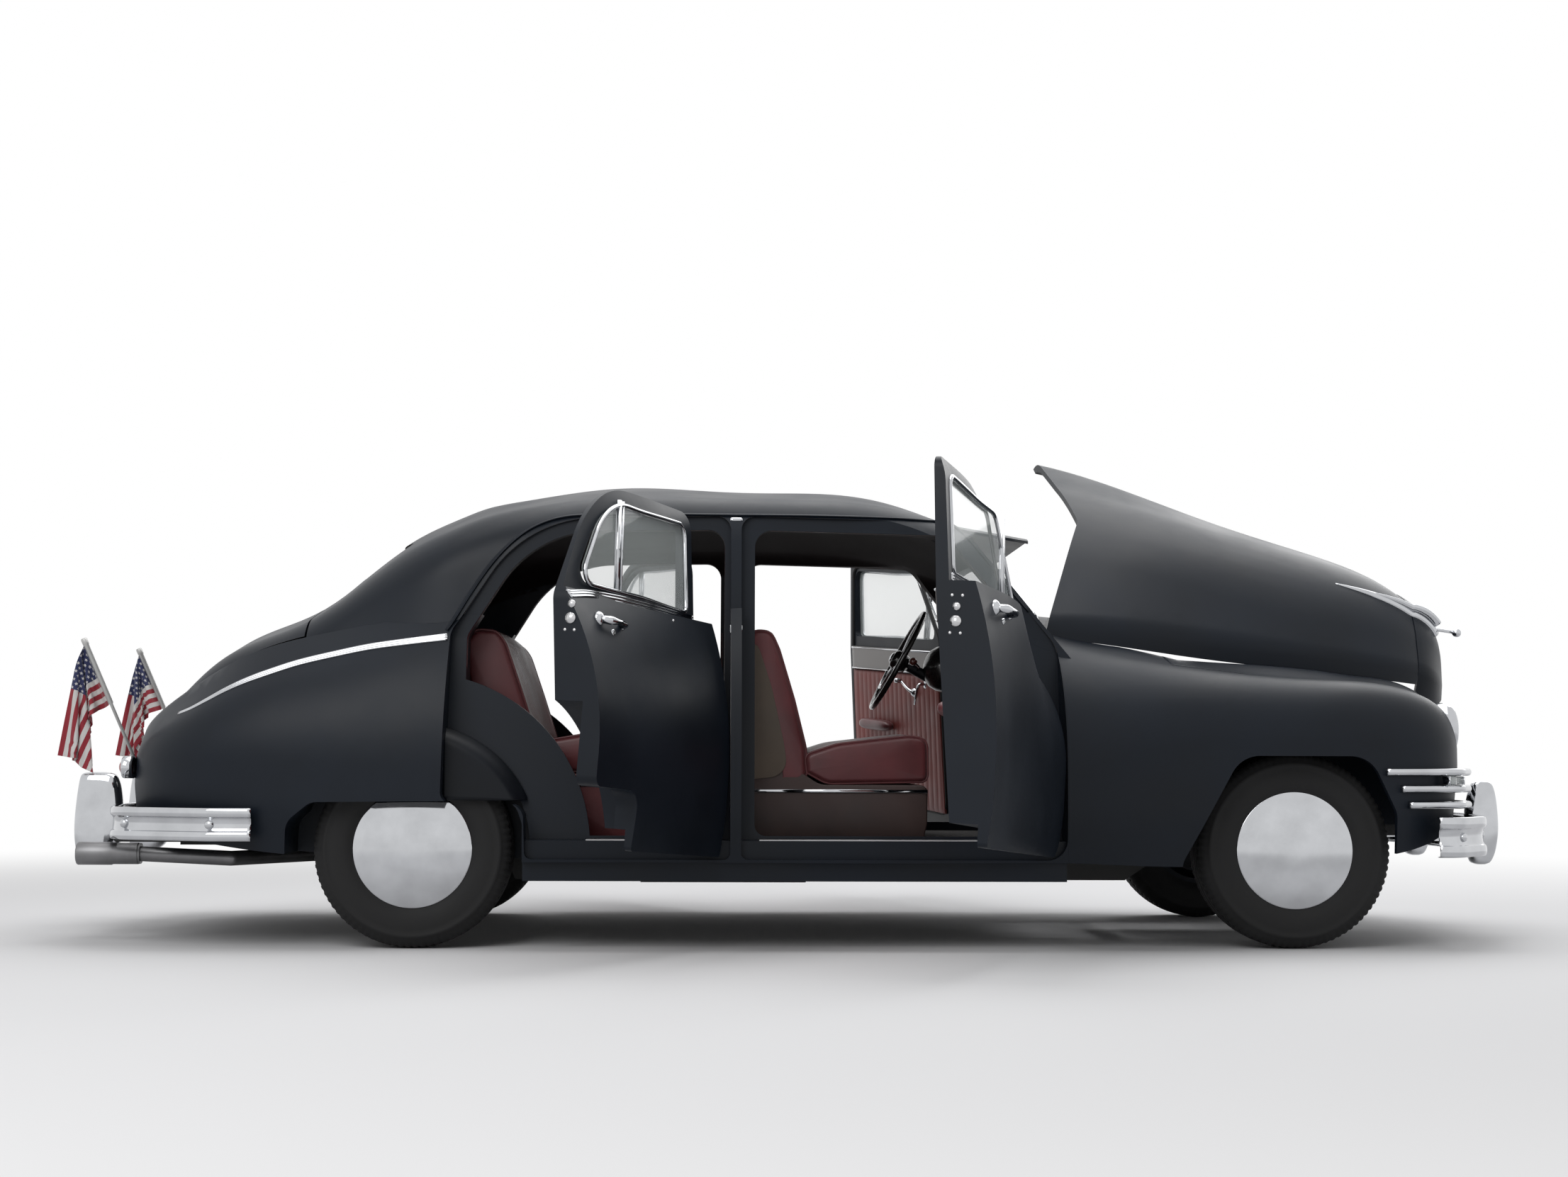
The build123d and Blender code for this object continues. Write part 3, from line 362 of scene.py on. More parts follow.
class SmoothSkins:
    """Smooth-shaded copies of the model's panels, with a fine bevel at their edges."""

    def __init__(self, model: FrameModel) -> None:
        """Keeps the model.

        Args:
            model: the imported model.
        """
        self.model = model

    def skin(self, node: str, finish: Finish, bevel: float = 0.0025, sharp: float = 32.0,
             lining: Optional[Finish] = None) -> bpy.types.Object:
        """A merged copy of a node, shaded smooth except at sharp edges, in its place.

        Args:
            node: the node's name.
            finish: its finish.
            bevel: the width of the edge bevel in metres; 0 for none.
            sharp: edges above this angle in degrees stay sharp.
            lining: the finish of the faces that look down, if they differ.

        Returns:
            The new piece.
        """
        source = self.model.nodes[node]
        mesh = source.data.copy()
        mesh.name = node + "_skin"
        work = bmesh.new()
        work.from_mesh(mesh)
        bmesh.ops.remove_doubles(work, verts=work.verts, dist=SKIN_MERGE)
        bmesh.ops.dissolve_degenerate(work, edges=work.edges, dist=SKIN_SLIVER)
        limit = math.radians(sharp)
        for edge in work.edges:
            edge.smooth = len(edge.link_faces) == 2 and edge.calc_face_angle(0.0) < limit
        for face in work.faces:
            face.smooth = True
        work.to_mesh(mesh)
        work.free()
        if "custom_normal" in mesh.attributes:
            mesh.attributes.remove(mesh.attributes["custom_normal"])
        piece = bpy.data.objects.new(node + "_skin", mesh)
        bpy.context.scene.collection.objects.link(piece)
        if bevel:
            edge_round = piece.modifiers.new("edges", "BEVEL")
            edge_round.width = bevel
            edge_round.segments = 2
            edge_round.limit_method = "ANGLE"
            edge_round.angle_limit = limit
            edge_round.use_clamp_overlap = True
            edge_round.harden_normals = False
        painted(piece, finish)
        if lining:
            piece.data.materials.append(lining.material())
            for face in piece.data.polygons:
                if face.normal.z < LINING_SLOPE:
                    face.material_index = len(piece.data.materials) - 1
        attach(piece, self.model.body_of_node[node])
        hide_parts(node)
        return piece


def car(x: float, y: float, z: float) -> Vector:
    """A place in millimetres from the middle of the wheelbase, as one in the row frame in metres."""
    return Vector((x / 1000 + SHIFT, y / 1000, z / 1000))


def car_points(rows: Sequence[Sequence[float]]) -> np.ndarray:
    """Many places in millimetres from the middle of the wheelbase, as an n by 3 array in metres."""
    return np.asarray(rows, float) / 1000 + np.array([SHIFT, 0, 0])


def smooth_line(rows: Sequence[Sequence[float]], count: int) -> np.ndarray:
    """A smooth line through given points.

    Each coordinate is a Catmull-Rom spline of the distance along the points.

    Args:
        rows: the points.
        count: how many points to return.

    Returns:
        A count by n array, evenly spaced in the spline's parameter.
    """
    points = np.asarray(rows, float)
    if len(points) == 2:
        return points[0] + (points[1] - points[0]) * np.linspace(0, 1, count)[:, None]
    steps = np.linalg.norm(np.diff(points, axis=0), axis=1)
    knots = np.concatenate([[0], np.cumsum(steps)])
    slopes = np.empty_like(points)
    slopes[1:-1] = (points[2:] - points[:-2]) / (knots[2:] - knots[:-2])[:, None]
    slopes[0] = (points[1] - points[0]) / steps[0]
    slopes[-1] = (points[-1] - points[-2]) / steps[-1]
    where = np.linspace(0, knots[-1], count)
    at = np.clip(np.searchsorted(knots, where, side="right") - 1, 0, len(steps) - 1)
    width = steps[at][:, None]
    t = ((where - knots[at])[:, None]) / width
    return ((2 * t**3 - 3 * t**2 + 1) * points[at] + (t**3 - 2 * t**2 + t) * width * slopes[at]
            + (-2 * t**3 + 3 * t**2) * points[at + 1] + (t**3 - t**2) * width * slopes[at + 1])


def unit(vectors: np.ndarray) -> np.ndarray:
    """Vectors of length one."""
    return vectors / np.maximum(np.linalg.norm(vectors, axis=-1, keepdims=True), 1e-12)


def sweep(name: str, path: np.ndarray, outward: np.ndarray, profile: np.ndarray, loop: bool = False,
          width: Optional[np.ndarray] = None, smooth: bool = True) -> bpy.types.Object:
    """A closed profile carried along a path.

    Each ring is the path's point plus the profile's first number along the side direction
    (outward x tangent) and its second along outward.

    Args:
        name: the piece's name.
        path: an n by 3 array.
        outward: an n by 3 array of unit normals along it.
        profile: an m by 2 array, a closed outline listed once.
        loop: whether the path closes on itself.
        width: a scale of the profile at each point.
        smooth: whether it is shaded smooth.

    Returns:
        The piece, with closed ends.
    """
    path = np.asarray(path, float)
    tangent = np.roll(path, -1, 0) - np.roll(path, 1, 0)
    if not loop:
        tangent[0], tangent[-1] = path[1] - path[0], path[-1] - path[-2]
    tangent = unit(tangent)
    side = unit(np.cross(outward, tangent))
    up = unit(np.cross(tangent, side))
    scale = np.ones(len(path)) if width is None else np.asarray(width, float)
    rings = (path[:, None, :] + side[:, None, :] * (profile[None, :, 0, None] * scale[:, None, None])
             + up[:, None, :] * (profile[None, :, 1, None] * scale[:, None, None]))
    faces = grid_faces(len(path), len(profile), close_rows=loop, close_columns=True).tolist()
    if not loop:
        count = len(profile)
        faces.append(list(range(count)))
        faces.append(list(range((len(path) - 1) * count, len(path) * count))[::-1])
    piece = mesh_piece(name, rings.reshape(-1, 3), faces, smooth)
    outward_faces(piece)
    return piece


def straight(name: str, start: Sequence[float], end: Sequence[float], outward: Sequence[float],
             profile: np.ndarray, smooth: bool = True) -> bpy.types.Object:
    """A profile carried along a straight line.

    Args:
        name: the piece's name.
        start: one end in millimetres from the middle of the wheelbase.
        end: the other end.
        outward: the way that the profile's second number goes.
        profile: its closed outline in metres.
        smooth: whether it is shaded smooth.

    Returns:
        The piece, with closed ends.
    """
    return sweep(name, car_points([start, end]), np.array([outward] * 2, float), profile, smooth=smooth)


def round_profile(radius: float, sides: int) -> np.ndarray:
    """A circle's outline: radius * (cos a, sin a) at even angles."""
    angle = np.linspace(0, 2 * np.pi, sides, endpoint=False)
    return radius * np.stack([np.cos(angle), np.sin(angle)], 1)


def tube(name: str, path: np.ndarray, radius: float, sides: int = 12,
         width: Optional[np.ndarray] = None) -> bpy.types.Object:
    """A round bar along a path.

    Args:
        name: the piece's name.
        path: an n by 3 array.
        radius: its radius in metres.
        sides: how many sides its section has.
        width: a scale of the radius at each point.

    Returns:
        The piece.
    """
    profile = round_profile(radius, sides)
    path = np.asarray(path, float)
    tangent = unit(np.gradient(path, axis=0))
    lead = np.array([0.0, 0.0, 1.0]) if abs(tangent[:, 2]).mean() < 0.7 else np.array([0.0, 1.0, 0.0])
    return sweep(name, path, np.broadcast_to(lead, path.shape), profile, width=width)


def turned(name: str, profile: Sequence[Sequence[float]], centre: Vector, axis: Vector, segments: int = 64,
           closed: bool = True) -> bpy.types.Object:
    """A profile turned about an axis.

    A point at radius r and height h along the axis goes to
    centre + axis*h + r*(cos a * first + sin a * second).

    Args:
        name: the piece's name.
        profile: (radius, height) pairs in metres.
        centre: a point on the axis.
        axis: the axis.
        segments: how many steps round.
        closed: whether the profile's end joins its start.

    Returns:
        The piece.
    """
    profile = np.asarray(profile, float)
    axis = np.array(Vector(axis).normalized())
    first = unit(np.cross(axis, [0.0, 0.0, 1.0] if abs(axis[2]) < 0.9 else [1.0, 0.0, 0.0]))
    second = np.cross(axis, first)
    angle = np.linspace(0, 2 * np.pi, segments, endpoint=False)
    ring = np.cos(angle)[:, None] * first + np.sin(angle)[:, None] * second
    radius, height = profile[None, :, 0, None], profile[None, :, 1, None]
    points = np.array(centre) + axis * height + ring[:, None, :] * radius
    faces = grid_faces(segments, len(profile), close_rows=True, close_columns=closed)
    piece = mesh_piece(name, points.reshape(-1, 3), faces)
    outward_faces(piece)
    return piece


def outward_faces(piece: bpy.types.Object) -> None:
    """Merges a mesh's doubles and turns its faces outwards.

    Args:
        piece: the object.
    """
    work = bmesh.new()
    work.from_mesh(piece.data)
    bmesh.ops.remove_doubles(work, verts=work.verts, dist=PIECE_MERGE)
    bmesh.ops.dissolve_degenerate(work, edges=work.edges, dist=PIECE_SLIVER)
    bmesh.ops.recalc_face_normals(work, faces=work.faces)
    work.to_mesh(piece.data)
    work.free()


def joined(name: str, pieces: Sequence[bpy.types.Object]) -> bpy.types.Object:
    """Several pieces as one mesh, with their materials kept.

    Args:
        name: the new piece's name.
        pieces: the pieces, which go away.

    Returns:
        The joined piece.
    """
    points, faces, finish, smooth, materials = [], [], [], [], []
    start = 0
    for piece in pieces:
        mesh = piece.data
        slots = []
        for material in mesh.materials:
            if material not in materials:
                materials.append(material)
            slots.append(materials.index(material))
        co = np.zeros(len(mesh.vertices) * 3)
        mesh.vertices.foreach_get("co", co)
        points.append(co.reshape(-1, 3))
        for polygon in mesh.polygons:
            faces.append([start + v for v in polygon.vertices])
            finish.append(slots[polygon.material_index] if slots else 0)
            smooth.append(polygon.use_smooth)
        start += len(mesh.vertices)
        bpy.data.objects.remove(piece)
    whole = mesh_piece(name, np.concatenate(points), faces)
    for material in materials:
        whole.data.materials.append(material)
    whole.data.polygons.foreach_set("material_index", np.array(finish, np.int32))
    whole.data.polygons.foreach_set("use_smooth", np.array(smooth, bool))
    return whole


def place_piece(piece: bpy.types.Object, body: str, finish: Optional[Finish] = None,
                turn: Optional[Matrix] = None) -> bpy.types.Object:
    """Finishes a piece: its turn goes into its mesh, and it rides on its body.

    Args:
        piece: the object.
        body: the body it rides on.
        finish: its finish, if it has none yet.
        turn: a turn from where it was made to where it stands.

    Returns:
        The piece.
    """
    if turn is not None:
        piece.data.transform(turn)
    if finish is not None:
        painted(piece, finish)
    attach(piece, body)
    LOG.info("%s rides on %s", piece.name, body)
    return piece


def mirrored(piece: bpy.types.Object, name: str) -> bpy.types.Object:
    """A piece's mirror image on the other side of the car, with its faces turned out again.

    Args:
        piece: the object.
        name: the new piece's name.

    Returns:
        The new piece, with (x, -y, z) for each point (x, y, z).
    """
    mesh = piece.data.copy()
    mesh.transform(Matrix.Scale(-1, 4, (0, 1, 0)))
    mesh.flip_normals()
    twin = bpy.data.objects.new(name, mesh)
    bpy.context.scene.collection.objects.link(twin)
    return twin


class Surface:
    """The closed car's outer surface, for laying trim on it."""

    def __init__(self, model: FrameModel, names: Iterable[str]) -> None:
        """Gathers the nodes' meshes, each brought to where it lies closed.

        Args:
            model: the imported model.
            names: the nodes to lay trim on.
        """
        points, faces, start = [], [], 0
        for name in names:
            mesh = model.nodes[name].data
            back = model.closed_to_rest(model.body_of_node[name]).inverted()
            co = np.zeros(len(mesh.vertices) * 3)
            mesh.vertices.foreach_get("co", co)
            matrix = np.array(back)
            moved = co.reshape(-1, 3) @ matrix[:3, :3].T + matrix[:3, 3]
            points.append(moved)
            mesh.calc_loop_triangles()
            for triangle in mesh.loop_triangles:
                faces.append([start + v for v in triangle.vertices])
            start += len(moved)
        self.tree = BVHTree.FromPolygons(np.concatenate(points).tolist(), faces)

    def hit(self, start: Vector, direction: Vector) -> Optional[tuple[Vector, Vector]]:
        """Casts a ray at the surface.

        Args:
            start: where the ray starts.
            direction: where it goes.

        Returns:
            The first place it meets and the normal there, facing the ray, or None.
        """
        place, normal, _, _ = self.tree.ray_cast(start, direction)
        if place is None:
            return None
        if normal.dot(direction) > 0:
            normal = -normal
        return place, normal

    def on_side(self, line: np.ndarray) -> tuple[np.ndarray, np.ndarray]:
        """A side-view line in millimetres laid on the right side, with Y and the normals averaged along it.

        Args:
            line: an n by 2 array of x and z.

        Returns:
            The places and the smoothed normals.
        """
        places, normals = [], []
        for x, z in line:
            found = self.hit(car(x, -RAY_START, z), INWARD)
            if found:
                places.append(found[0])
                normals.append(found[1])
        places, normals = np.array(places), np.array(normals)
        for _ in range(6):
            inner = (normals[:-2] + 2 * normals[1:-1] + normals[2:]) / 4
            normals[1:-1] = inner
            places[1:-1, 1] = (places[:-2, 1] + 2 * places[1:-1, 1] + places[2:, 1]) / 4
        return places, unit(normals)


# The belt moulding's section in metres: two shallow ribs beside a middle one.
RIBBED = np.array([(-15, 0), (-14.5, 3), (-12, 5), (-8, 5.2), (-6, 4), (-5, 2.8), (-4, 4.4), (-1.5, 5.8),
                   (1.5, 5.8), (4, 4.4), (5, 2.8), (6, 4), (8, 5.2), (12, 5), (14.5, 3), (15, 0), (12, -3),
                   (-12, -3)]) / 1000


def half_round(width: float, height: float, foot: float = 0.002, steps: int = 8) -> np.ndarray:
    """A half-round trim profile in metres: (width / 2 * cos a, height * sin a) on a flat foot.

    Args:
        width: its width.
        height: its height over the foot.
        foot: how far the foot sinks below.
        steps: how many points its round has.

    Returns:
        A closed outline.
    """
    angle = np.linspace(0, np.pi, steps)
    top = np.stack([np.cos(angle) * width / 2, np.sin(angle) * height], 1)
    return np.concatenate([top, [(-width / 2, -foot), (width / 2, -foot)]])


def slab_profile(width: float, height: float) -> np.ndarray:
    """A flat bar profile with small chamfers, in metres."""
    w, h, c = width / 2, height / 2, min(width, height) * 0.2
    return np.array([(-w + c, -h), (w - c, -h), (w, -h + c), (w, h - c), (w - c, h), (-w + c, h), (-w, h - c),
                     (-w, -h + c)])


@dataclass
class Tyre:
    """A blackwall tyre with circumferential ribs and notched shoulders."""

    radius: float = 0.340
    bead_radius: float = 0.1925
    notches: int = 84
    notch_depth: float = 0.0045
    shoulder: tuple[float, float] = (0.0500, 0.0905)
    shoulder_radius: float = 0.31

    def build(self, name: str, centre: Vector, outboard: float) -> bpy.types.Object:
        """A profile turned about the wheel's axis, its shoulder radius cut by a square wave of the angle.

        Args:
            name: the piece's name.
            centre: the wheel's centre.
            outboard: the sign of Y that points out from the car.

        Returns:
            The piece.
        """
        crown = self.radius
        half = [(self.bead_radius, 0.0730), (0.1965, 0.0775), (0.203, 0.0805), (0.210, 0.086),
                (0.222, 0.0935), (0.236, 0.0978), (0.255, 0.0995), (0.275, 0.0995), (0.292, 0.0970),
                (0.2945, 0.0985), (0.303, 0.0970), (0.3055, 0.0945), (0.315, 0.0900), (0.3235, 0.0845),
                (0.3275, 0.0805), (crown - 0.007, 0.0735), (crown - 0.0025, 0.0650), (crown - 0.0015, 0.0515),
                (crown - 0.008, 0.0500), (crown - 0.008, 0.0450), (crown - 0.001, 0.0435),
                (crown - 0.0002, 0.0235), (crown - 0.007, 0.0220), (crown - 0.007, 0.0175), (crown, 0.0160)]
        profile = np.array(half + [(r, -v) for r, v in reversed(half)])
        segments = self.notches * 3
        angle = np.linspace(0, 2 * np.pi, segments, endpoint=False)
        wave = (np.arange(segments) % 3 == 0).astype(float)
        radius = np.broadcast_to(profile[:, 0], (segments, len(profile))).copy()
        off_middle = np.abs(profile[:, 1])
        low, high = self.shoulder
        notched = (off_middle > low) & (off_middle < high) & (profile[:, 0] > self.shoulder_radius)
        radius[:, notched] -= wave[:, None] * self.notch_depth
        across = np.broadcast_to(profile[:, 1], radius.shape) * outboard
        points = np.stack([radius * np.cos(angle)[:, None], across, radius * np.sin(angle)[:, None]], -1)
        points = points + np.array(centre)
        faces = grid_faces(segments, len(profile), close_rows=True, close_columns=True)
        piece = mesh_piece(name, points.reshape(-1, 3), faces)
        outward_faces(piece)
        return piece


@dataclass
class WheelCover:
    """A full domed disc cover with a rolled lip."""

    radius: float = 0.2050
    crown: float = 0.1010
    drop: float = 0.0165
    wall: float = 0.0016
    lip: tuple = ((0.2020, 0.0840), (0.2042, 0.0822), (0.2050, 0.0800), (0.2040, 0.0785), (0.2015, 0.0790),
                  (0.1990, 0.0815))

    def build(self, name: str, centre: Vector, outboard: float) -> bpy.types.Object:
        """A shallow dome turned about the axis: its height falls by drop * (r / edge)^2.4.

        Args:
            name: the piece's name.
            centre: the wheel's centre.
            outboard: the sign of Y that points out from the car.

        Returns:
            The piece.
        """
        r = np.linspace(0.0, self.radius - 0.006, 18)
        height = self.crown - self.drop * (r / r[-1]) ** 2.4
        inner = zip(r[::-1], height[::-1] - self.wall)
        return turned(name, [*zip(r, height), *self.lip, *inner], centre, Vector((0, outboard, 0)), 96,
                      closed=False)


class Wheels:
    """The four wheels' tyres and covers."""

    def build(self) -> None:
        """Builds a tyre and a cover on each wheel."""
        for place in Place:
            for side in Side:
                label = f"{place.value}_{side.label}"
                low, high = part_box("tyre_" + label)
                centre = (low + high) / 2
                body = "wheel_" + label
                tyre = Tyre().build("tyre_tread_" + label, centre, side.value)
                place_piece(tyre, body, RUBBER)
                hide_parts("tyre_" + label)
                cover = WheelCover().build("wheel_cover_" + label, centre, side.value)
                place_piece(cover, body, CHROME)


def rounded_line(corners: Sequence[Sequence[float]], spacing: float = 10.0) -> np.ndarray:
    """Straight runs through corners, each rounded by a tangent arc.

    Between its tangent points an arc is the weighted sum of its two end radii, with sines of the angle as
    weights.

    Args:
        corners: (u, v, radius) rows in millimetres.
        spacing: the distance between points on an arc.

    Returns:
        An n by 2 array.
    """
    places = np.array([c[:2] for c in corners], float)
    parts = []
    for i, (_, _, radius) in enumerate(corners):
        if i in (0, len(corners) - 1) or radius == 0:
            parts.append(places[i][None])
            continue
        back, ahead = unit(places[i - 1] - places[i]), unit(places[i + 1] - places[i])
        half = math.acos(float(np.clip(back @ ahead, -1, 1))) / 2
        middle = places[i] + unit(back + ahead) * radius / math.sin(half)
        start = places[i] + back * radius / math.tan(half) - middle
        end = places[i] + ahead * radius / math.tan(half) - middle
        turn = math.pi - 2 * half
        t = np.linspace(0, 1, max(3, int(turn * radius / spacing)))[:, None]
        parts.append(middle + (np.sin((1 - t) * turn) * start + np.sin(t * turn) * end) / math.sin(turn))
    return np.concatenate(parts)


def even_line(points: np.ndarray, spacing: float) -> np.ndarray:
    """A line's points set evenly along its length, by interpolation of the length along it.

    Args:
        points: an n by m array.
        spacing: how far apart the new points are.

    Returns:
        A k by m array.
    """
    lengths = np.concatenate([[0], np.cumsum(np.linalg.norm(np.diff(points, axis=0), axis=1))])
    where = np.linspace(0, lengths[-1], max(2, int(round(lengths[-1] / spacing)) + 1))
    return np.stack([np.interp(where, lengths, points[:, i]) for i in range(points.shape[1])], 1)


def glass_plane(z: np.ndarray) -> np.ndarray:
    """The side glass's Y in metres at heights in millimetres: its foot's Y plus a lean in step with z."""
    return GLASS_FOOT_Y + (z - GLASS_FOOT_Z) / GLASS_HEIGHT * GLASS_LEAN


def both_sides(piece: bpy.types.Object, body: str, finish: Optional[Finish] = None,
               turn: Optional[Matrix] = None) -> None:
    """Places a right-hand piece and its mirror image on the left, with right changed to left in both names.

    Args:
        piece: the right-hand piece.
        body: the right-hand body, or one that carries both.
        finish: its finish.
        turn: a turn from where it was made to where it stands.
    """
    place_piece(piece, body, finish, turn)
    twin = mirrored(piece, piece.name.replace("_right", "_left"))
    place_piece(twin, body.replace("_right", "_left"))


@dataclass(frozen=True)
class WrappedBar:
    """A bright bar that follows a line in plan round one end of the car, at one height."""

    corners: tuple[tuple[float, float, float], ...]
    z: float
    profile: np.ndarray
    both: bool = True
    start: Optional[float] = None

    def build(self, name: str, spacing: float = 14.0) -> bpy.types.Object:
        """The profile carried along the rounded plan line, its up side along Z and its face outwards.

        Args:
            name: the piece's name.
            spacing: the distance between sections in millimetres.

        Returns:
            The piece.
        """
        line = even_line(rounded_line(self.corners), spacing)
        if self.start is not None:
            line = line[np.abs(line[:, 0]) >= abs(self.start)]
        if self.both:
            line = np.concatenate([line, (line * (1, -1))[-2::-1]])
        path = car_points(np.column_stack([line, np.full(len(line), self.z)]))
        tangent = unit(np.gradient(path, axis=0))
        outward = np.cross(tangent, [0.0, 0.0, 1.0])
        if (outward[0] @ [0, path[0, 1], 0]) < 0:
            outward = -outward
        return sweep(name, path, outward, self.profile)


def rib_face(half_height: float, rib: float, depth: float, wall: float = 3.0) -> np.ndarray:
    """A two-rib bumper section in metres: (up, out) pairs, its two ribs round and its middle hollowed.

    Args:
        half_height: half the bar's height in millimetres.
        rib: the height of a rib in millimetres.
        depth: how far a rib stands out in millimetres.
        wall: the metal's thickness in millimetres.

    Returns:
        A closed outline.
    """
    angle = np.linspace(-np.pi / 2, np.pi / 2, 9)
    rise, out = half_height - rib / 2 + np.sin(-angle) * rib / 2, depth / 2 + np.cos(angle) * depth / 2
    top = np.stack([rise, out], 1)
    middle = np.linspace(half_height - rib, -(half_height - rib), 9)[1:-1]
    hollow = np.stack([middle, 3.0 - 4.0 * np.cos(middle / (half_height - rib) * np.pi / 2)], 1)
    front = np.concatenate([[(half_height, -14)], top, hollow, (top * (-1, 1))[::-1], [(-half_height, -14)]])
    inner = front - np.array([0.0, wall])
    inner[:, 0] *= (half_height - wall) / half_height
    return np.concatenate([front, inner[::-1]]) / 1000


@dataclass
class Guard:
    """An upright bumper guard: rounded sections stacked from its foot to its top."""

    rows: tuple[tuple[float, float, float, float], ...]
    power: float = 3.2
    around: int = 40

    def build(self, name: str, y: float) -> bpy.types.Object:
        """The guard at one place across the car.

        A row (z, back, front, half width) is smoothed along z, and each level is a superellipse
        |a/half depth|^power + |b/half width|^power = 1.

        Args:
            name: the piece's name.
            y: its middle across the car in millimetres.

        Returns:
            The piece.
        """
        rows = smooth_line(self.rows, 48)
        angle = np.linspace(0, 2 * np.pi, self.around, endpoint=False)
        a = np.sign(np.cos(angle)) * np.abs(np.cos(angle)) ** (2 / self.power)
        b = np.sign(np.sin(angle)) * np.abs(np.sin(angle)) ** (2 / self.power)
        middle, half_depth = (rows[:, 1] + rows[:, 2]) / 2, (rows[:, 2] - rows[:, 1]) / 2
        x = middle[:, None] + half_depth[:, None] * a
        across = y + rows[:, 3][:, None] * b
        z = np.broadcast_to(rows[:, :1], x.shape)
        faces = grid_faces(len(rows), self.around, close_columns=True).tolist()
        faces += end_caps(len(rows), self.around)
        piece = mesh_piece(name, car_points(np.stack([x, across, z], -1).reshape(-1, 3)), faces)
        outward_faces(piece)
        return piece


@dataclass
class Bumpers:
    """The two wrapped two-rib bumpers with their guards, bolts and brackets."""

    model: FrameModel
    guard_y: float = 380.0
    bolt_shares: tuple = (0.11, 0.37)
    bolt: tuple = ((0.0, 0.013), (0.007, 0.012), (0.0125, 0.009), (0.016, 0.003), (0.016, -0.008),
                   (0.0, -0.008))
    bracket_y: float = 407.0
    front_bar: tuple = (390.0, 69.0, 40.0, 26.0)
    rear_bar: tuple = (422.0, 56.0, 32.0, 24.0)
    front_bracket: tuple = (2040, 2300, 400)
    rear_bracket: tuple = (-2640, -2390, 358)
    front_plan: tuple = ((1996, -948, 0), (2060, -948, 90), (2215, -770, 180), (2306, -380, 500),
                         (2330, 0, 0))
    rear_plan: tuple = ((-2055, -948, 0), (-2200, -948, 140), (-2560, -800, 220), (-2640, -380, 400),
                        (-2662, 0, 0))
    front_guard: tuple = ((273, 2318, 2352, 20), (282, 2300, 2370, 31), (310, 2290, 2385, 36),
                          (350, 2284, 2395, 38), (400, 2282, 2401, 39), (470, 2284, 2399, 39),
                          (530, 2296, 2392, 37), (562, 2306, 2383, 32), (574, 2316, 2372, 24),
                          (579, 2330, 2358, 10))
    rear_guard: tuple = ((268, -2762, -2722, 20), (278, -2774, -2690, 31), (306, -2786, -2650, 37),
                         (360, -2795, -2630, 39), (420, -2796, -2626, 39), (500, -2790, -2630, 38),
                         (556, -2783, -2640, 36), (580, -2777, -2652, 30), (588, -2768, -2668, 22),
                         (592, -2750, -2690, 9))

    def build(self) -> None:
        """Builds both bumpers, each replacing its plain node."""
        self.end("front_bumper", self.front_plan, self.front_bar, self.front_bracket, self.front_guard)
        self.end("rear_bumper", self.rear_plan, self.rear_bar, self.rear_bracket, self.rear_guard)

    def end(self, node: str, plan: tuple, section: tuple, bracket: tuple, guard: tuple) -> None:
        """One bumper: the bar, two guards, four bolts and two brackets.

        Args:
            node: the node it stands for.
            plan: the bar's line in plan.
            section: the bar's middle height, half its height, one rib's height and the ribs' depth.
            bracket: the low and high ends of the brackets and their height.
            guard: the rows of its guards.
        """
        z, half_height, rib, depth = section
        pieces = [painted(WrappedBar(plan, z, rib_face(half_height, rib, depth - 12)).build(node + "_bar"),
                          CHROME)]
        for y in (-self.guard_y, self.guard_y):
            pieces.append(painted(Guard(guard).build(node + "_guard", y), CHROME))
        forward = 1 if plan[0][0] > 0 else -1
        line = even_line(rounded_line(plan), 10.0)
        for share in self.bolt_shares:
            place = line[int(share * len(line))]
            ahead = line[int(share * len(line)) + 1] - place
            out = unit(np.array([ahead[1], -ahead[0]])) * (1 if ahead[1] * forward > 0 else -1)
            for side in Side:
                centre = car(place[0], side.value * abs(place[1]), z)
                axis = Vector((out[0], side.value * abs(out[1]), 0))
                pieces.append(painted(turned("bolt", self.bolt, centre, axis, 24, closed=False), CHROME))
        low, high, bracket_z = bracket
        for y in (-self.bracket_y, self.bracket_y):
            arm = straight("bracket", (low, y, bracket_z), (high, y, bracket_z), (0, 0, 1),
                           slab_profile(0.035, 0.03), smooth=False)
            pieces.append(painted(arm, FRAME_PAINT))
        whole = joined(node + "_bright", pieces)
        place_piece(whole, self.model.body_of_node[node])
        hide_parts(node)


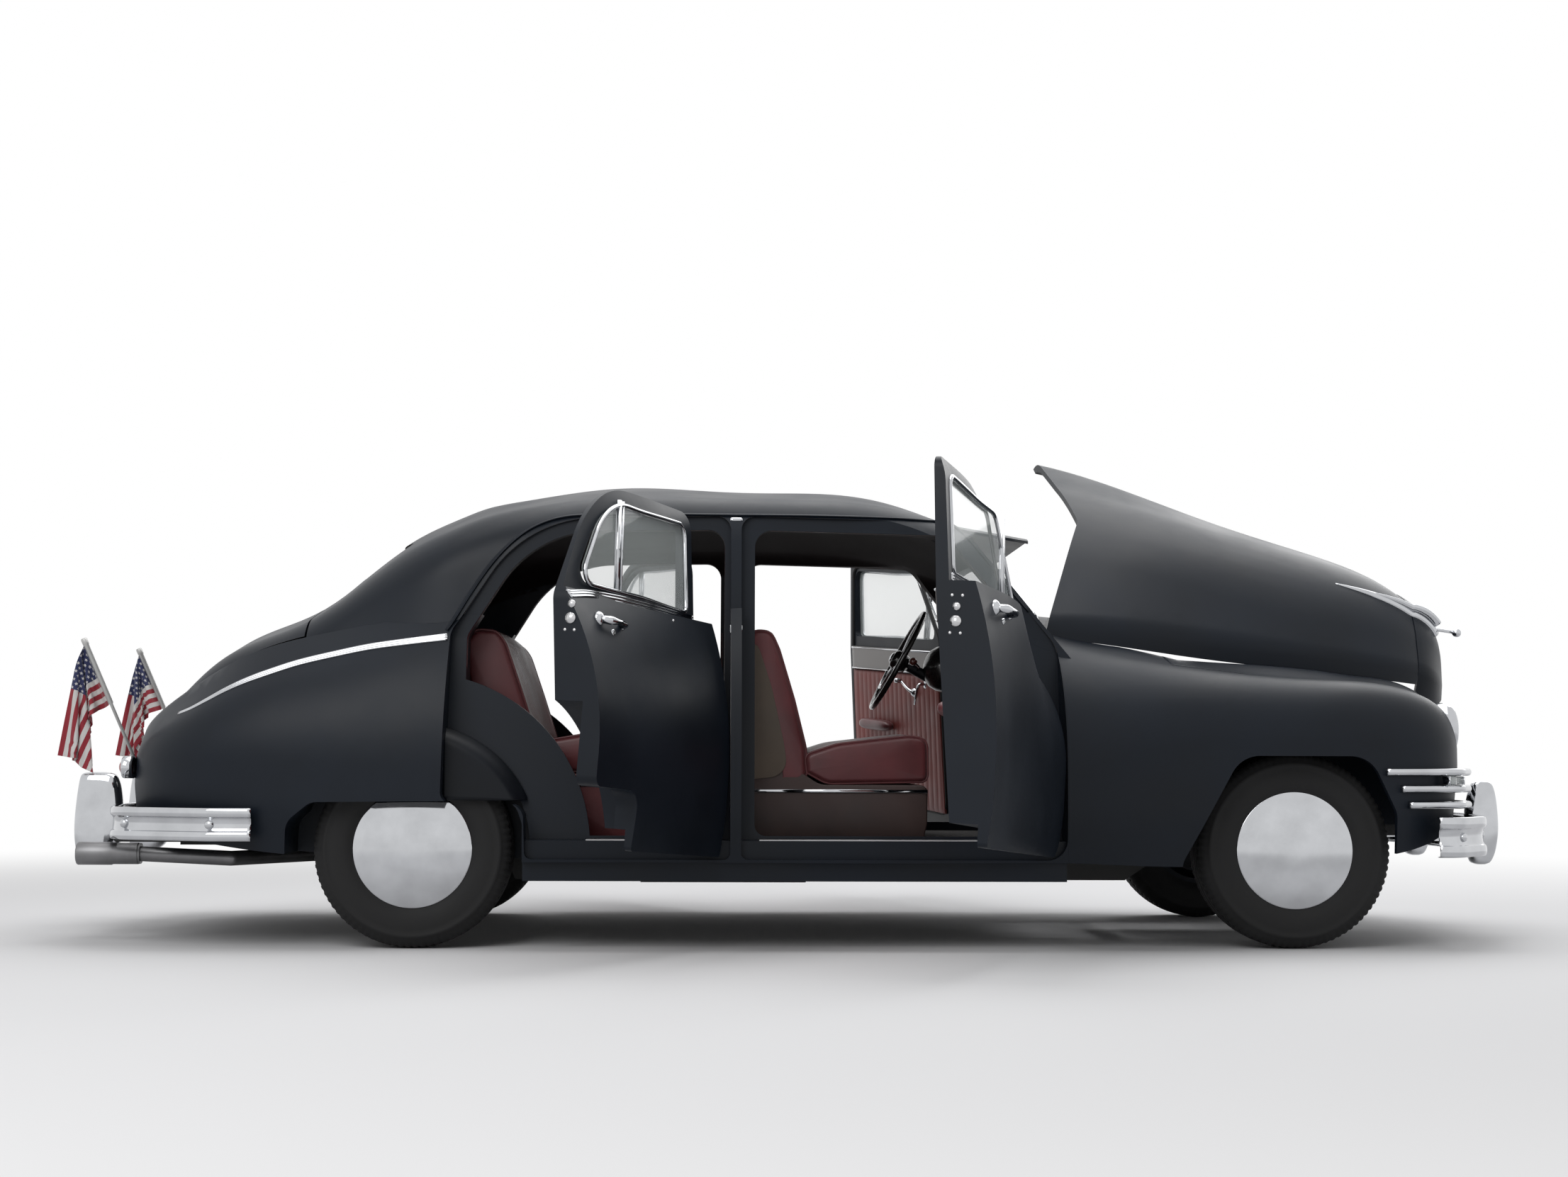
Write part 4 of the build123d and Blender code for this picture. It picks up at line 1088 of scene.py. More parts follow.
@dataclass
class FrontBars:
    """The three bright bars that wrap the front, with the parking lamps between the upper two."""

    model: FrameModel
    plan: tuple = ((1780, -948, 0), (1990, -910, 200), (2105, -854, 120), (2176, -734, 60), (2184, -430, 60),
                   (2250, -290, 90), (2268, 0, 0))
    rows: tuple = ((500, 1894), (556, 1865), (614, 1820))
    height: float = 0.026
    lamp_out: tuple = (0.45, -0.89, 0.0)
    lamp_ends: tuple = ((2052, -881, 585), (2112, -843, 585))
    rim_places: tuple = ((2050, -883), (2114, -842))
    rim_heights: tuple = (571, 599)

    def build(self) -> None:
        """Builds the bars as half-round sections along one plan line, and two lamps."""
        angle = np.linspace(0, np.pi, 11)
        front = np.stack([np.cos(angle) * self.height / 2, np.sin(angle) * 0.013], 1)
        profile = np.concatenate([front, [(-self.height / 2, -0.016), (self.height / 2, -0.016)]])
        pieces = []
        for z, start in self.rows:
            pieces.append(painted(WrappedBar(self.plan, z, profile, start=start).build("bar"), CHROME))
        whole = joined("front_side_bars", pieces)
        place_piece(whole, self.model.body_of_node["grille_bars"])
        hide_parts("grille_bars")
        lamp = straight("parking_lamp_right", *self.lamp_ends, self.lamp_out,
                        half_round(0.030, 0.012, 0.018, 12))
        both_sides(lamp, "body", CLEAR_LENS)
        rims = [straight("rim", *[(x, y, z) for z in self.rim_heights], self.lamp_out,
                         half_round(0.006, 0.015, 0.02, 8)) for x, y in self.rim_places]
        rim = joined("parking_lamp_rim_right", rims)
        both_sides(rim, "body", CHROME)


@dataclass
class Headlamps:
    """Sealed-beam lamps in chrome rims: rim, domed lens and bowl."""

    centre: tuple[float, float, float] = (2118, -640, 763)
    radius: float = 0.0968

    def build(self) -> None:
        """Builds the right lamp and its mirror image."""
        centre, axis = car(*self.centre), Vector((1, 0, 0))
        r = self.radius
        rim = turned("headlamp_rim_right", [(r, -0.03), (r, 0.004), (r - 0.002, 0.016), (r - 0.008, 0.026),
                                            (r - 0.016, 0.031), (r - 0.021, 0.029), (r - 0.0235, 0.022),
                                            (r - 0.0245, 0.012), (r - 0.022, 0.010), (r - 0.012, -0.03)],
                     centre, axis, 72)
        both_sides(rim, "body", CHROME)
        inner = r - 0.0238
        a = np.linspace(0.0, inner, 16)
        dome = 0.012 + 0.0245 * (1 - (a / inner) ** 2)
        outline = list(zip(a, dome)) + list(zip(a[::-1], dome[::-1] - 0.003))
        lens = turned("headlamp_lens_right", outline, centre, axis, 72, closed=False)
        both_sides(lens, "body", CLEAR_LENS)
        bowl_depth = 0.010 - 0.045 * (1 - (a / inner) ** 2)
        outline = list(zip(a, bowl_depth)) + list(zip(a[::-1], bowl_depth[::-1] - 0.002))
        bowl = turned("headlamp_bowl_right", outline, centre, axis, 48, closed=False)
        both_sides(bowl, "body", DULL_CHROME)
        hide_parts("headlamps")


@dataclass
class BrightTrim:
    """Belt moulding, rear spear, window frames and the bright tabs on the middle pillar."""

    model: FrameModel
    belt: tuple = ((-362, 1122), (100, 1121), (560, 1119))
    rear_belt: tuple = ((-452, 1122), (-900, 1118), (-1230, 1106), (-1392, 1085))
    spear: tuple = ((-1419, 1066), (-1560, 1049), (-1690, 1031), (-1820, 1004), (-1936, 976), (-2030, 945),
                    (-2122, 911), (-2190, 880), (-2250, 848), (-2310, 818), (-2361, 800))
    front_window: tuple = ((-348, 1134, 25), (-348, 1447, 45), (302, 1434, 90), (544, 1134, 30))
    rear_window: tuple = ((-494, 1134, 25), (-494, 1447, 45), (-1107, 1436, 300), (-1309, 1134, 40))
    front_bar: tuple = ((404, 1436), (336, 1136))
    rear_bar: tuple = ((-1010, 1440), (-1040, 1136))
    tab_x: tuple = (-443, -400)
    tab_z: tuple = (1085, 1118)
    tab_y: tuple = (-849, -815)
    pillar_z: float = 1492
    frame_inset: float = 9.0
    frame_proud: float = 0.010
    bar_proud: float = 0.008

    def __post_init__(self) -> None:
        """Gathers the closed car's right side."""
        names = ["body_side_right", "door_front_right", "door_rear_right", "fender_front_right", "roof",
                 "cowl", "trunk_lid"]
        self.side = Surface(self.model, names)
        self.channel_step = {"front": 0.026, "rear": 0.024}

    def strip(self, name: str, line: Sequence[Sequence[float]], profile: np.ndarray, body: str,
              count: int = 60, finish: Finish = CHROME, taper: float = 1.0) -> None:
        """A moulding laid on the side along a side-view line, and its mirror image.

        Args:
            name: the piece's name.
            line: (x, z) rows in millimetres.
            profile: its section.
            body: the body that it rides on.
            count: how many sections.
            finish: its finish.
            taper: the section's scale at the line's end.
        """
        places, normals = self.side.on_side(smooth_line(line, count))
        width = np.concatenate([np.ones(len(places) - len(places) // 3),
                                np.linspace(1, taper, len(places) // 3)])
        piece = sweep(name, places, normals, profile, width=width)
        both_sides(piece, body, finish, self.model.closed_to_rest(body))

    def build(self) -> None:
        """Lays every strip."""
        self.strip("belt_moulding_front_right", self.belt, RIBBED, "door_front_right")
        self.strip("belt_moulding_rear_right", self.rear_belt, RIBBED, "door_rear_right")
        self.strip("rear_spear_right", self.spear, RIBBED, "body", 110, taper=0.45)
        (rear, front), (low, high) = self.tab_x, self.tab_z
        self.strip("pillar_tab_right", ((rear, self.pillar_z), (front, self.pillar_z)),
                   half_round(0.017, 0.004), "body", 6)
        corners = ((rear, low, 2), (front, low, 2), (front, high, 2), (rear, high, 2))
        both_sides(side_plate("belt_tab_right", corners, *self.tab_y, 2), "body", CHROME)
        self.window_frame("front", self.front_window, self.front_bar)
        self.window_frame("rear", self.rear_window, self.rear_bar)

    def window_frame(self, place: str, outline: tuple, bar: tuple) -> None:
        """The bright frame round a door's glass and the bar between its two panes.

        Args:
            place: front or rear.
            outline: the window's corners (x, z, radius).
            bar: the ends of the dividing bar (x, z).
        """
        body = f"door_{place}_right"
        start = ((outline[0][0] + outline[-1][0]) / 2, outline[0][1], 0)
        line = even_line(rounded_line((start, *outline, start)), 16.0)[:-1]
        inward = np.array([np.mean(line[:, 0]), np.mean(line[:, 1])])
        pulled = line + unit(inward - line) * self.frame_inset
        path = car_points(np.column_stack([pulled[:, 0], np.zeros(len(line)), pulled[:, 1]]))
        path[:, 1] = glass_plane(line[:, 1]) - self.frame_proud
        out = np.broadcast_to(np.array([0.0, -1.0, 0.0]), path.shape)
        frame = sweep("frame", path, out, half_round(0.015, 0.007, 0.004, 8), loop=True)
        divider = car_points([(bar[0][0], 0, bar[0][1]), (bar[1][0], 0, bar[1][1])])
        divider[:, 1] = glass_plane(np.array([bar[0][1], bar[1][1]])) - self.bar_proud
        post = sweep("post", divider, out[:2], half_round(0.020, 0.009, 0.006, 8))
        channel = divider + np.array([self.channel_step[place], -0.001, 0])
        run = sweep("run", channel, out[:2], half_round(0.009, 0.006, 0.006, 6))
        whole = joined(f"window_frame_{place}_right", [frame, post, run])
        both_sides(whole, body, CHROME, self.model.closed_to_rest(body))


@dataclass
class HoodOrnament:
    """A low bright spear on the ridge that ends in a round-nosed rod past the hood's tip."""

    model: FrameModel
    start_x: float = 1820.0
    end_x: float = 2236.0
    tip_x: float = 2318.0
    ball: tuple = ((0.0, -0.017), (0.0075, -0.0155), (0.0135, -0.011), (0.017, -0.003), (0.0172, 0.004),
                   (0.0145, 0.011), (0.009, 0.0158), (0.0, 0.018))

    def build(self) -> None:
        """Builds the ornament on the closed hood and turns it with the hood."""
        hood = Surface(self.model, ["hood"])
        x = np.linspace(self.start_x, self.end_x, 40)
        places = np.array([hood.hit(car(a, 0, 1500), Vector((0, 0, -1)))[0] for a in x])
        t = np.linspace(0, 1, 40)
        up = np.broadcast_to(np.array([0.0, 0.0, 1.0]), places.shape)
        spear = sweep("spear", places, up, half_round(0.052, 0.017, 0.003, 12),
                      width=0.12 + 0.88 * np.sin(t * np.pi * 0.55))
        fin_path = places[14:] + np.column_stack([np.zeros(26), np.zeros(26), np.linspace(0.006, 0.030, 26)])
        fin_path[:, 2] += np.linspace(0, 1, 26) ** 2 * 0.012
        fin = sweep("fin", fin_path, up[:26], half_round(0.026, 0.018, 0.010, 10),
                    width=0.25 + 0.75 * np.linspace(0, 1, 26) ** 0.6)
        end = Vector(places[-1])
        start = end + Vector((-0.09, 0, 0.012))
        tip = Vector((car(self.tip_x, 0, 0)[0], 0, end[2] + 0.010))
        rod = tube("rod", np.array([start, end + Vector((0, 0, 0.016)), tip]), 0.0065, 16)
        ball = turned("ball", self.ball, tip, tip - end, 28, closed=False)
        whole = joined("hood_ornament", [spear, fin, rod, ball])
        place_piece(whole, "hood", CHROME, self.model.closed_to_rest("hood"))


@dataclass
class Handles:
    """Outside pull handles with their keyholes, one on each door."""

    model: FrameModel
    front: tuple[float, float] = (-262, 1046)
    rear: tuple[float, float] = (-1262, 1024)
    reach: float = 150
    rise: float = 0.040
    collar: tuple = ((0.0, 0.016), (0.013, 0.014), (0.021, 0.008), (0.025, 0.001), (0.0245, -0.012),
                     (0.0, -0.012))
    foot: tuple = ((0.0, 0.012), (0.010, 0.010), (0.015, 0.003), (0.015, -0.012), (0.0, -0.012))
    lock: tuple = ((0.0015, 0.0045), (0.0015, 0.0065), (0.0075, 0.006), (0.0105, 0.003), (0.0105, -0.008),
                   (0.0015, -0.008))
    grip_radius: float = 0.0115
    lock_step: tuple[float, float] = (62, -34)

    def build(self) -> None:
        """Builds a curved grip on two feet for each right-hand door and mirrors it."""
        for place, (x, z) in (("front", self.front), ("rear", self.rear)):
            body = f"door_{place}_right"
            door = Surface(self.model, [body])
            base = door.hit(car(x, -RAY_START, z), INWARD)[0]
            far = door.hit(car(x + self.reach, -RAY_START, z - 4), INWARD)[0]
            t = np.linspace(0, 1, 30)
            line = np.array(base)[None] * (1 - t[:, None]) + np.array(far)[None] * t[:, None]
            line[:, 1] -= self.rise * np.minimum(1, np.sin(np.clip(t * 1.08, 0, 1) * np.pi) ** 0.35)
            wide = 0.75 + 0.45 * np.exp(-((t - 0.12) / 0.16) ** 2) + 0.1 * t
            grip = tube("grip", line, self.grip_radius, 16, width=wide)
            outer = Vector((0, -1, 0))
            collar = turned("collar", self.collar, base, outer, 28, closed=False)
            foot = turned("foot", self.foot, far, outer, 24, closed=False)
            key_place = door.hit(car(x + self.lock_step[0], -RAY_START, z + self.lock_step[1]), INWARD)[0]
            lock = turned("lock", self.lock, key_place, outer, 24)
            whole = joined(f"door_handle_{place}_right", [grip, collar, foot, lock])
            both_sides(whole, body, CHROME, self.model.closed_to_rest(body))


def thick_sheet(name: str, front: np.ndarray, back: np.ndarray) -> bpy.types.Object:
    """A closed plate between two grids of the same size.

    Args:
        name: the piece's name.
        front: a rows by columns by 3 array.
        back: the same for the other face.

    Returns:
        The piece.
    """
    rows, columns = front.shape[:2]
    count = rows * columns
    face = grid_faces(rows, columns)
    number = np.arange(count).reshape(rows, columns)
    rim = np.concatenate([number[0], number[1:, -1], number[-1, -2::-1], number[-2:0:-1, 0]])
    ahead = np.roll(rim, -1)
    wall = np.stack([rim, ahead, ahead + count, rim + count], 1)
    faces = np.concatenate([face, face[:, ::-1] + count, wall])
    piece = mesh_piece(name, np.concatenate([front.reshape(-1, 3), back.reshape(-1, 3)]), faces)
    outward_faces(piece)
    return piece


def smoothstep(low: float, high: float, value: np.ndarray) -> np.ndarray:
    """0 below low, 1 above high and 3t^2 - 2t^3 between."""
    t = np.clip((value - low) / (high - low), 0, 1)
    return t * t * (3 - 2 * t)


@dataclass
class Cushion:
    """A bench cushion: a rounded side outline carried across the car, with sewn channels on its worn face."""

    outline: tuple
    half_width: float
    facing: tuple[float, float]
    roll: float = 34.0
    channel: float = 52.0
    depth: float = 7.0
    border: float = 105.0
    crown: float = 8.0
    welt: float = 0.0042
    finish: Finish = MAROON

    def build(self, name: str) -> list[bpy.types.Object]:
        """The cushion with its welts.

        Each section is the outline moved in by a quarter circle of the distance from its end. The worn face
        swells by crown * cos(pi y / 2 half width), and between channels it dips by
        depth * (1 - sqrt|sin(pi y / channel)|).

        Args:
            name: the piece's name.

        Returns:
            The cushion and its two end welts.
        """
        loop = even_line(rounded_line((*self.outline, self.outline[0])), 9.0)[:-1]
        tangent = unit(np.roll(loop, -1, 0) - np.roll(loop, 1, 0))
        normal = np.column_stack([tangent[:, 1], -tangent[:, 0]])
        middle = loop.mean(0)
        if np.sum((loop - middle) * normal) < 0:
            normal = -normal
        for _ in range(3):
            normal = unit((np.roll(normal, 1, 0) + 2 * normal + np.roll(normal, -1, 0)) / 4)
        w = self.half_width
        bend = w - self.roll * (1 - np.sin(np.linspace(0, np.pi / 2, 8)))
        y = np.concatenate([-bend[::-1], np.arange(-w + self.roll + 6, w - self.roll - 3, 6.5), bend])
        inset = self.roll - np.sqrt(np.maximum(0, self.roll**2
                                               - np.maximum(0, np.abs(y) - w + self.roll) ** 2))
        worn = smoothstep(0.35, 0.75, normal @ unit(np.array(self.facing, float)))
        sewn = worn[None, :] * (1 - smoothstep(w - self.border, w - self.border + 14, np.abs(y)))[:, None]
        puff = self.depth * (np.sqrt(np.abs(np.sin(np.pi * y / self.channel))) - 1)[:, None]
        swell = self.crown * np.cos(np.pi * y / (2 * w))[:, None] * worn[None, :]
        out = puff * sewn + swell - inset[:, None] * 0.55 - 4.0 * (1 - sewn) * 0.3
        section = loop[None] + normal[None] * out[:, :, None]
        rows = [np.column_stack([section[0] * s + section[0].mean(0) * (1 - s),
                                 np.full(len(loop), -w - 5.0 * (1 - s**2))])
                for s in (0.04, 0.3, 0.6, 0.85, 0.96)]
        rows += [np.column_stack([section[i], np.full(len(loop), y[i])]) for i in range(len(y))]
        rows += [np.column_stack([section[-1] * s + section[-1].mean(0) * (1 - s),
                                  np.full(len(loop), w + 5.0 * (1 - s**2))])
                 for s in (0.96, 0.85, 0.6, 0.3, 0.04)]
        grid = np.array(rows)[:, :, (0, 2, 1)]
        count = len(loop)
        faces = grid_faces(len(rows), count, close_columns=True).tolist() + end_caps(len(rows), count)
        piece = mesh_piece(name, car_points(grid.reshape(-1, 3)), faces)
        outward_faces(piece)
        welts = []
        for sign in (-1, 1):
            edge = loop - normal * self.roll * 0.08
            path = car_points(np.column_stack([edge[:, 0], np.full(len(loop), sign * (w - self.roll * 0.45)),
                                               edge[:, 1]]))
            out_dir = np.column_stack([normal[:, 0], np.zeros(count), normal[:, 1]])
            cord = sweep(f"{name}_welt_{'left' if sign > 0 else 'right'}", path, out_dir,
                         round_profile(self.welt, 8), loop=True)
            welts.append(painted(cord, self.finish))
        return [painted(piece, self.finish), *welts]


def side_plate(name: str, outline: tuple, y_low: float, y_high: float, edge: float = 6.0) -> bpy.types.Object:
    """A block drawn across the car from a side-view outline, its rims rounded by rings moved in.

    At angle a a ring lies edge * (1 - sin a) in from its end and edge * (1 - cos a) inside the outline.

    Args:
        name: the piece's name.
        outline: (x, z, radius) rows in millimetres.
        y_low: its right end.
        y_high: its left end.
        edge: how much its rims are rounded.

    Returns:
        The piece.
    """
    loop = even_line(rounded_line((*outline, outline[0])), 14.0)[:-1]
    tangent = unit(np.roll(loop, -1, 0) - np.roll(loop, 1, 0))
    normal = np.column_stack([tangent[:, 1], -tangent[:, 0]])
    if np.sum((loop - loop.mean(0)) * normal) < 0:
        normal = -normal
    turn = np.linspace(0, np.pi / 2, 4)
    ends = [(y_low + edge * (1 - math.sin(a)), edge * (1 - math.cos(a))) for a in turn[::-1]]
    ends += [(y_high - edge * (1 - math.sin(a)), edge * (1 - math.cos(a))) for a in turn]
    rows = [np.column_stack([(loop - normal * inset)[:, 0], np.full(len(loop), y),
                             (loop - normal * inset)[:, 1]])
            for y, inset in ends]
    count = len(loop)
    faces = grid_faces(len(rows), count, close_columns=True).tolist() + end_caps(len(rows), count)
    piece = mesh_piece(name, car_points(np.array(rows).reshape(-1, 3)), faces)
    outward_faces(piece)
    return piece


@dataclass
class Seats:
    """The two bench seats: channelled cushions and backs on upholstered bases with bright strips."""

    model: FrameModel
    front_cushion: tuple = ((-168, 600, 30), (-176, 668, 30), (-60, 706, 160), (90, 724, 200), (200, 736, 90),
                            (266, 726, 38), (268, 568, 24), (-95, 560, 90))
    front_back: tuple = ((-262, 566, 20), (-160, 566, 40), (-166, 690, 120), (-208, 860, 400),
                         (-262, 1040, 160), (-292, 1106, 42), (-356, 1110, 38), (-400, 1058, 50),
                         (-330, 800, 300))
    rear_cushion: tuple = ((-1200, 600, 40), (-1206, 690, 60), (-1080, 716, 160), (-940, 740, 160),
                           (-850, 754, 90), (-776, 742, 40), (-768, 690, 30), (-776, 600, 24))
    rear_back: tuple = ((-1316, 575, 30), (-1200, 600, 60), (-1120, 716, 60), (-1180, 900, 500),
                        (-1236, 1062, 120), (-1270, 1104, 42), (-1345, 1110, 38), (-1392, 1056, 45))
    front_base: tuple = ((-396, 351, 0), (246, 351, 0), (262, 420, 60), (264, 560, 22), (-120, 560, 60),
                         (-210, 620, 90), (-300, 700, 60), (-392, 720, 30))
    back_panel: tuple = ((-396, 1050, 30), (-344, 1066, 30), (-290, 900, 400), (-246, 700, 300),
                         (-232, 590, 60), (-396, 575, 4))
    rear_base: tuple = ((-1178, 351, 0), (-802, 351, 0), (-796, 590, 20), (-1178, 600, 20))
    shelf: tuple = ((-1698, 1081, 2), (-1352, 1081, 2), (-1352, 1095, 4), (-1698, 1095, 4))

    def build(self) -> None:
        """Builds both seats and lets them stand for the plain solids."""
        front = [
            *Cushion(self.front_cushion, 652.0, (0.0, 1.0)).build("front_cushion"),
            *Cushion(self.front_back, 650.0, (0.96, 0.3)).build("front_seat_back"),
        ]
        base = painted(side_plate("front_seat_base", self.front_base, -650, 650), BROWN_VINYL)
        panels = []
        for sign in (-1, 1):
            y_low, y_high = sorted((sign * 652.5, sign * 656.0))
            panels.append(painted(side_plate("panel", self.back_panel, y_low, y_high, 1.5), TAUPE_BOARD))
        trim = joined("front_seat_panels", panels)
        strips = [self.strip(-394, 263, 537, y) for y in (-653, 653)]
        bright = joined("front_seat_strips", strips)
        for piece in front + [base, trim, bright]:
            place_piece(piece, self.model.body_of_node["front_seat"])
        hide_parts("front_seat")
        rear = [
            *Cushion(self.rear_cushion, 616.0, (0.0, 1.0)).build("rear_cushion"),
            *Cushion(self.rear_back, 612.0, (0.96, 0.3)).build("rear_seat_back"),
        ]
        rear_base = painted(side_plate("rear_seat_base", self.rear_base, -616, 616), MAROON)
        shelf = painted(side_plate("package_shelf", self.shelf, -618, 618, 2), HEADLINER)
        rear_bright = joined("rear_seat_strips", [self.strip(-1170, -799, 556, y) for y in (-618, 618)])
        for piece in rear + [rear_base, shelf, rear_bright]:
            place_piece(piece, self.model.body_of_node["rear_seat"])
        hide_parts("rear_seat")

    def strip(self, x_low: float, x_high: float, z: float, y: float) -> bpy.types.Object:
        """A bright strip along the side of a base.

        Args:
            x_low: its rear end.
            x_high: its front end.
            z: its height.
            y: its place across the car.

        Returns:
            The piece.
        """
        sign = 1.0 if y > 0 else -1.0
        piece = straight("strip", (x_low, y, z), (x_high, y, z), (0, sign, 0),
                         half_round(0.013, 0.003, 0.001, 8))
        return painted(piece, CHROME)


@dataclass
class DoorCards:
    """Inside trim of a door: pleated card, grey garnish rail, crank, handle, armrest and rubber seal."""

    model: FrameModel
    inner_line: tuple = ((180, 864), (376, 857), (1069, 772), (1496, 738), (1600, 730))
    thickness: float = 11.0
    pleat: float = 47.0
    low_edge: float = 400.0
    front_card: float = -341.0
    rear_card: tuple[float, float] = (-1344.0, -475.0)
    wheelhouse: tuple[float, float, float] = (-1524.0, 340.0, 632.0)
    card_top: float = 985.0
    rail_span: tuple[float, float] = (990, 1092)
    strip_heights: tuple[float, float] = (992, 1086)
    rail_thickness: float = 15.0
    armrest_z: float = 742
    front_seal: tuple = ((-352, 700, 0), (-352, 393, 40), (580, 393, 60), (566, 1140, 90), (330, 1446, 90),
                         (-352, 1462, 50), (-352, 700, 0))
    rear_seal: tuple = ((-462, 700, 0), (-462, 393, 30), (-905, 393, 30), (-952, 620, 200), (-1140, 860, 200),
                        (-1352, 990, 60), (-1352, 1085, 60), (-1128, 1452, 390), (-462, 1462, 50),
                        (-462, 700, 0))

    def __post_init__(self) -> None:
        """Sets the places along the car that differ between the two doors."""
        self.armrest_x = {Place.FRONT: (-190, 120), Place.REAR: (-880, -600)}
        self.strip_x = {Place.FRONT: (-338, 548), Place.REAR: (-1335, -478)}
        self.crank = {Place.FRONT: (330.0, 905.0), Place.REAR: (-640.0, 900.0)}

    def inner_y(self, z: np.ndarray) -> np.ndarray:
        """The inner face's distance from the middle at a height."""
        heights, widths = zip(*self.inner_line)
        return np.interp(z, heights, widths)

    def x_limits(self, place: Place, z: np.ndarray) -> tuple[np.ndarray, np.ndarray]:
        """The card's rear and front edges at each height, inside the doorway.

        A rear door's rear edge follows the wheelhouse: x = middle + sqrt(radius^2 - (z - height)^2).

        Args:
            place: which door.
            z: heights.

        Returns:
            The rear and the front x at each height.
        """
        if place is Place.FRONT:
            return np.full(len(z), self.front_card), np.interp(z, (385, 1150), (574, 545))
        middle, height, radius = self.wheelhouse
        circle = np.maximum(0, radius**2 - (z - height) ** 2)
        return np.maximum(middle + np.sqrt(circle), self.rear_card[0]), np.full(len(z), self.rear_card[1])

    def panel(self, name: str, place: Place, z_low: float, z_high: float, thick: float,
              pleated: bool) -> bpy.types.Object:
        """A plate on the inner face between two heights, its front swollen into upright pleats.

        Its inward bulge is thick + 4 |sin(pi x / pleat)|^0.6, faded out near its edges.

        Args:
            name: the piece's name.
            place: which door.
            z_low: its lower edge.
            z_high: its upper edge.
            thick: its thickness in millimetres.
            pleated: whether it has pleats.

        Returns:
            The piece.
        """
        z = np.linspace(z_low, z_high, 32)
        rear, front = self.x_limits(place, z)
        t = np.linspace(0, 1, 190 if pleated else 50)
        x = rear[:, None] + (front - rear)[:, None] * t
        height = np.broadcast_to(z[:, None], x.shape)
        side_fade = np.minimum(1, np.minimum(t, 1 - t)[None] * 40)
        edge = side_fade * np.minimum(1, np.minimum(z - z_low, z_high - z) / 14)[:, None]
        bulge = thick + (4.0 * np.abs(np.sin(np.pi * x / self.pleat)) ** 0.6 * edge if pleated
                         else 2.5 * np.sqrt(edge))
        y = -self.inner_y(z)[:, None] * np.ones_like(x)
        shape = (*x.shape, 3)
        front_grid = car_points(np.stack([x, y + bulge, height], -1).reshape(-1, 3)).reshape(shape)
        back_grid = car_points(np.stack([x, y + 0.4, height], -1).reshape(-1, 3)).reshape(shape)
        return thick_sheet(name, front_grid, back_grid)

    def build(self) -> None:
        """Dresses the two right-hand doors and mirrors them."""
        for place in Place:
            body = f"door_{place.value}_right"
            turn = self.model.closed_to_rest(body)
            z_low = self.low_edge - (3.0 if place is Place.FRONT else 0.0)
            card = self.panel(f"door_card_{place.value}_right", place, z_low, self.card_top, self.thickness,
                              True)
            both_sides(card, body, MAROON_CARD, turn)
            rail = self.panel(f"garnish_rail_{place.value}_right", place, *self.rail_span,
                              self.rail_thickness, False)
            both_sides(rail, body, GREY_PAINT, turn)
            x_low, x_high = self.strip_x[place]
            strips = []
            for z in self.strip_heights:
                y = -self.inner_y(np.array([z]))[0] + self.rail_thickness + 2.0
                strips.append(straight("strip", (x_low, y, z), (x_high, y, z), (0, 1, 0),
                                       half_round(0.008, 0.004)))
            strips += self.fittings(place)
            both_sides(joined(f"door_fittings_{place.value}_right", strips), body, CHROME, turn)
            self.armrest(place, body, turn)
            self.seal(place, body, turn)

    def fittings(self, place: Place) -> list[bpy.types.Object]:
        """A window crank with its knob, and a curved inside handle.

        Args:
            place: which door.

        Returns:
            The unpainted pieces.
        """
        x, z = self.crank[place]
        y = -self.inner_y(np.array([z]))[0] + 16
        pieces = [turned("boss", [(0.0, 0.020), (0.012, 0.018), (0.020, 0.008), (0.022, 0.0), (0.0, 0.0)],
                         car(x, y, z), Vector((0, 1, 0)), 24, closed=False)]
        arm = np.array([(x, y + 14, z), (x - 26, y + 26, z + 14), (x - 84, y + 34, z + 46)])
        pieces.append(tube("arm", car_points(smooth_line(arm, 12)), 0.0065, 12,
                           width=np.linspace(1.2, 0.8, 12)))
        pieces.append(turned("knob", [(0.0, 0.034), (0.009, 0.032), (0.0125, 0.024), (0.010, 0.008),
                                      (0.007, 0.0), (0.0, 0.0)], car(x - 84, y + 32, z + 46),
                             Vector((0, 1, 0)), 20, closed=False))
        hook = np.array([(x + 96, y, z + 40), (x + 104, y + 34, z + 36), (x + 96, y + 40, z - 6),
                         (x + 74, y + 34, z - 52)])
        pieces.append(tube("hook", car_points(smooth_line(hook, 16)), 0.0062, 12,
                           width=np.linspace(1.25, 0.75, 16)))
        pieces.append(turned("rose", [(0.0, 0.006), (0.016, 0.005), (0.022, 0.0), (0.0, 0.0)],
                             car(x + 96, y - 1, z + 40), Vector((0, 1, 0)), 24, closed=False))
        return pieces

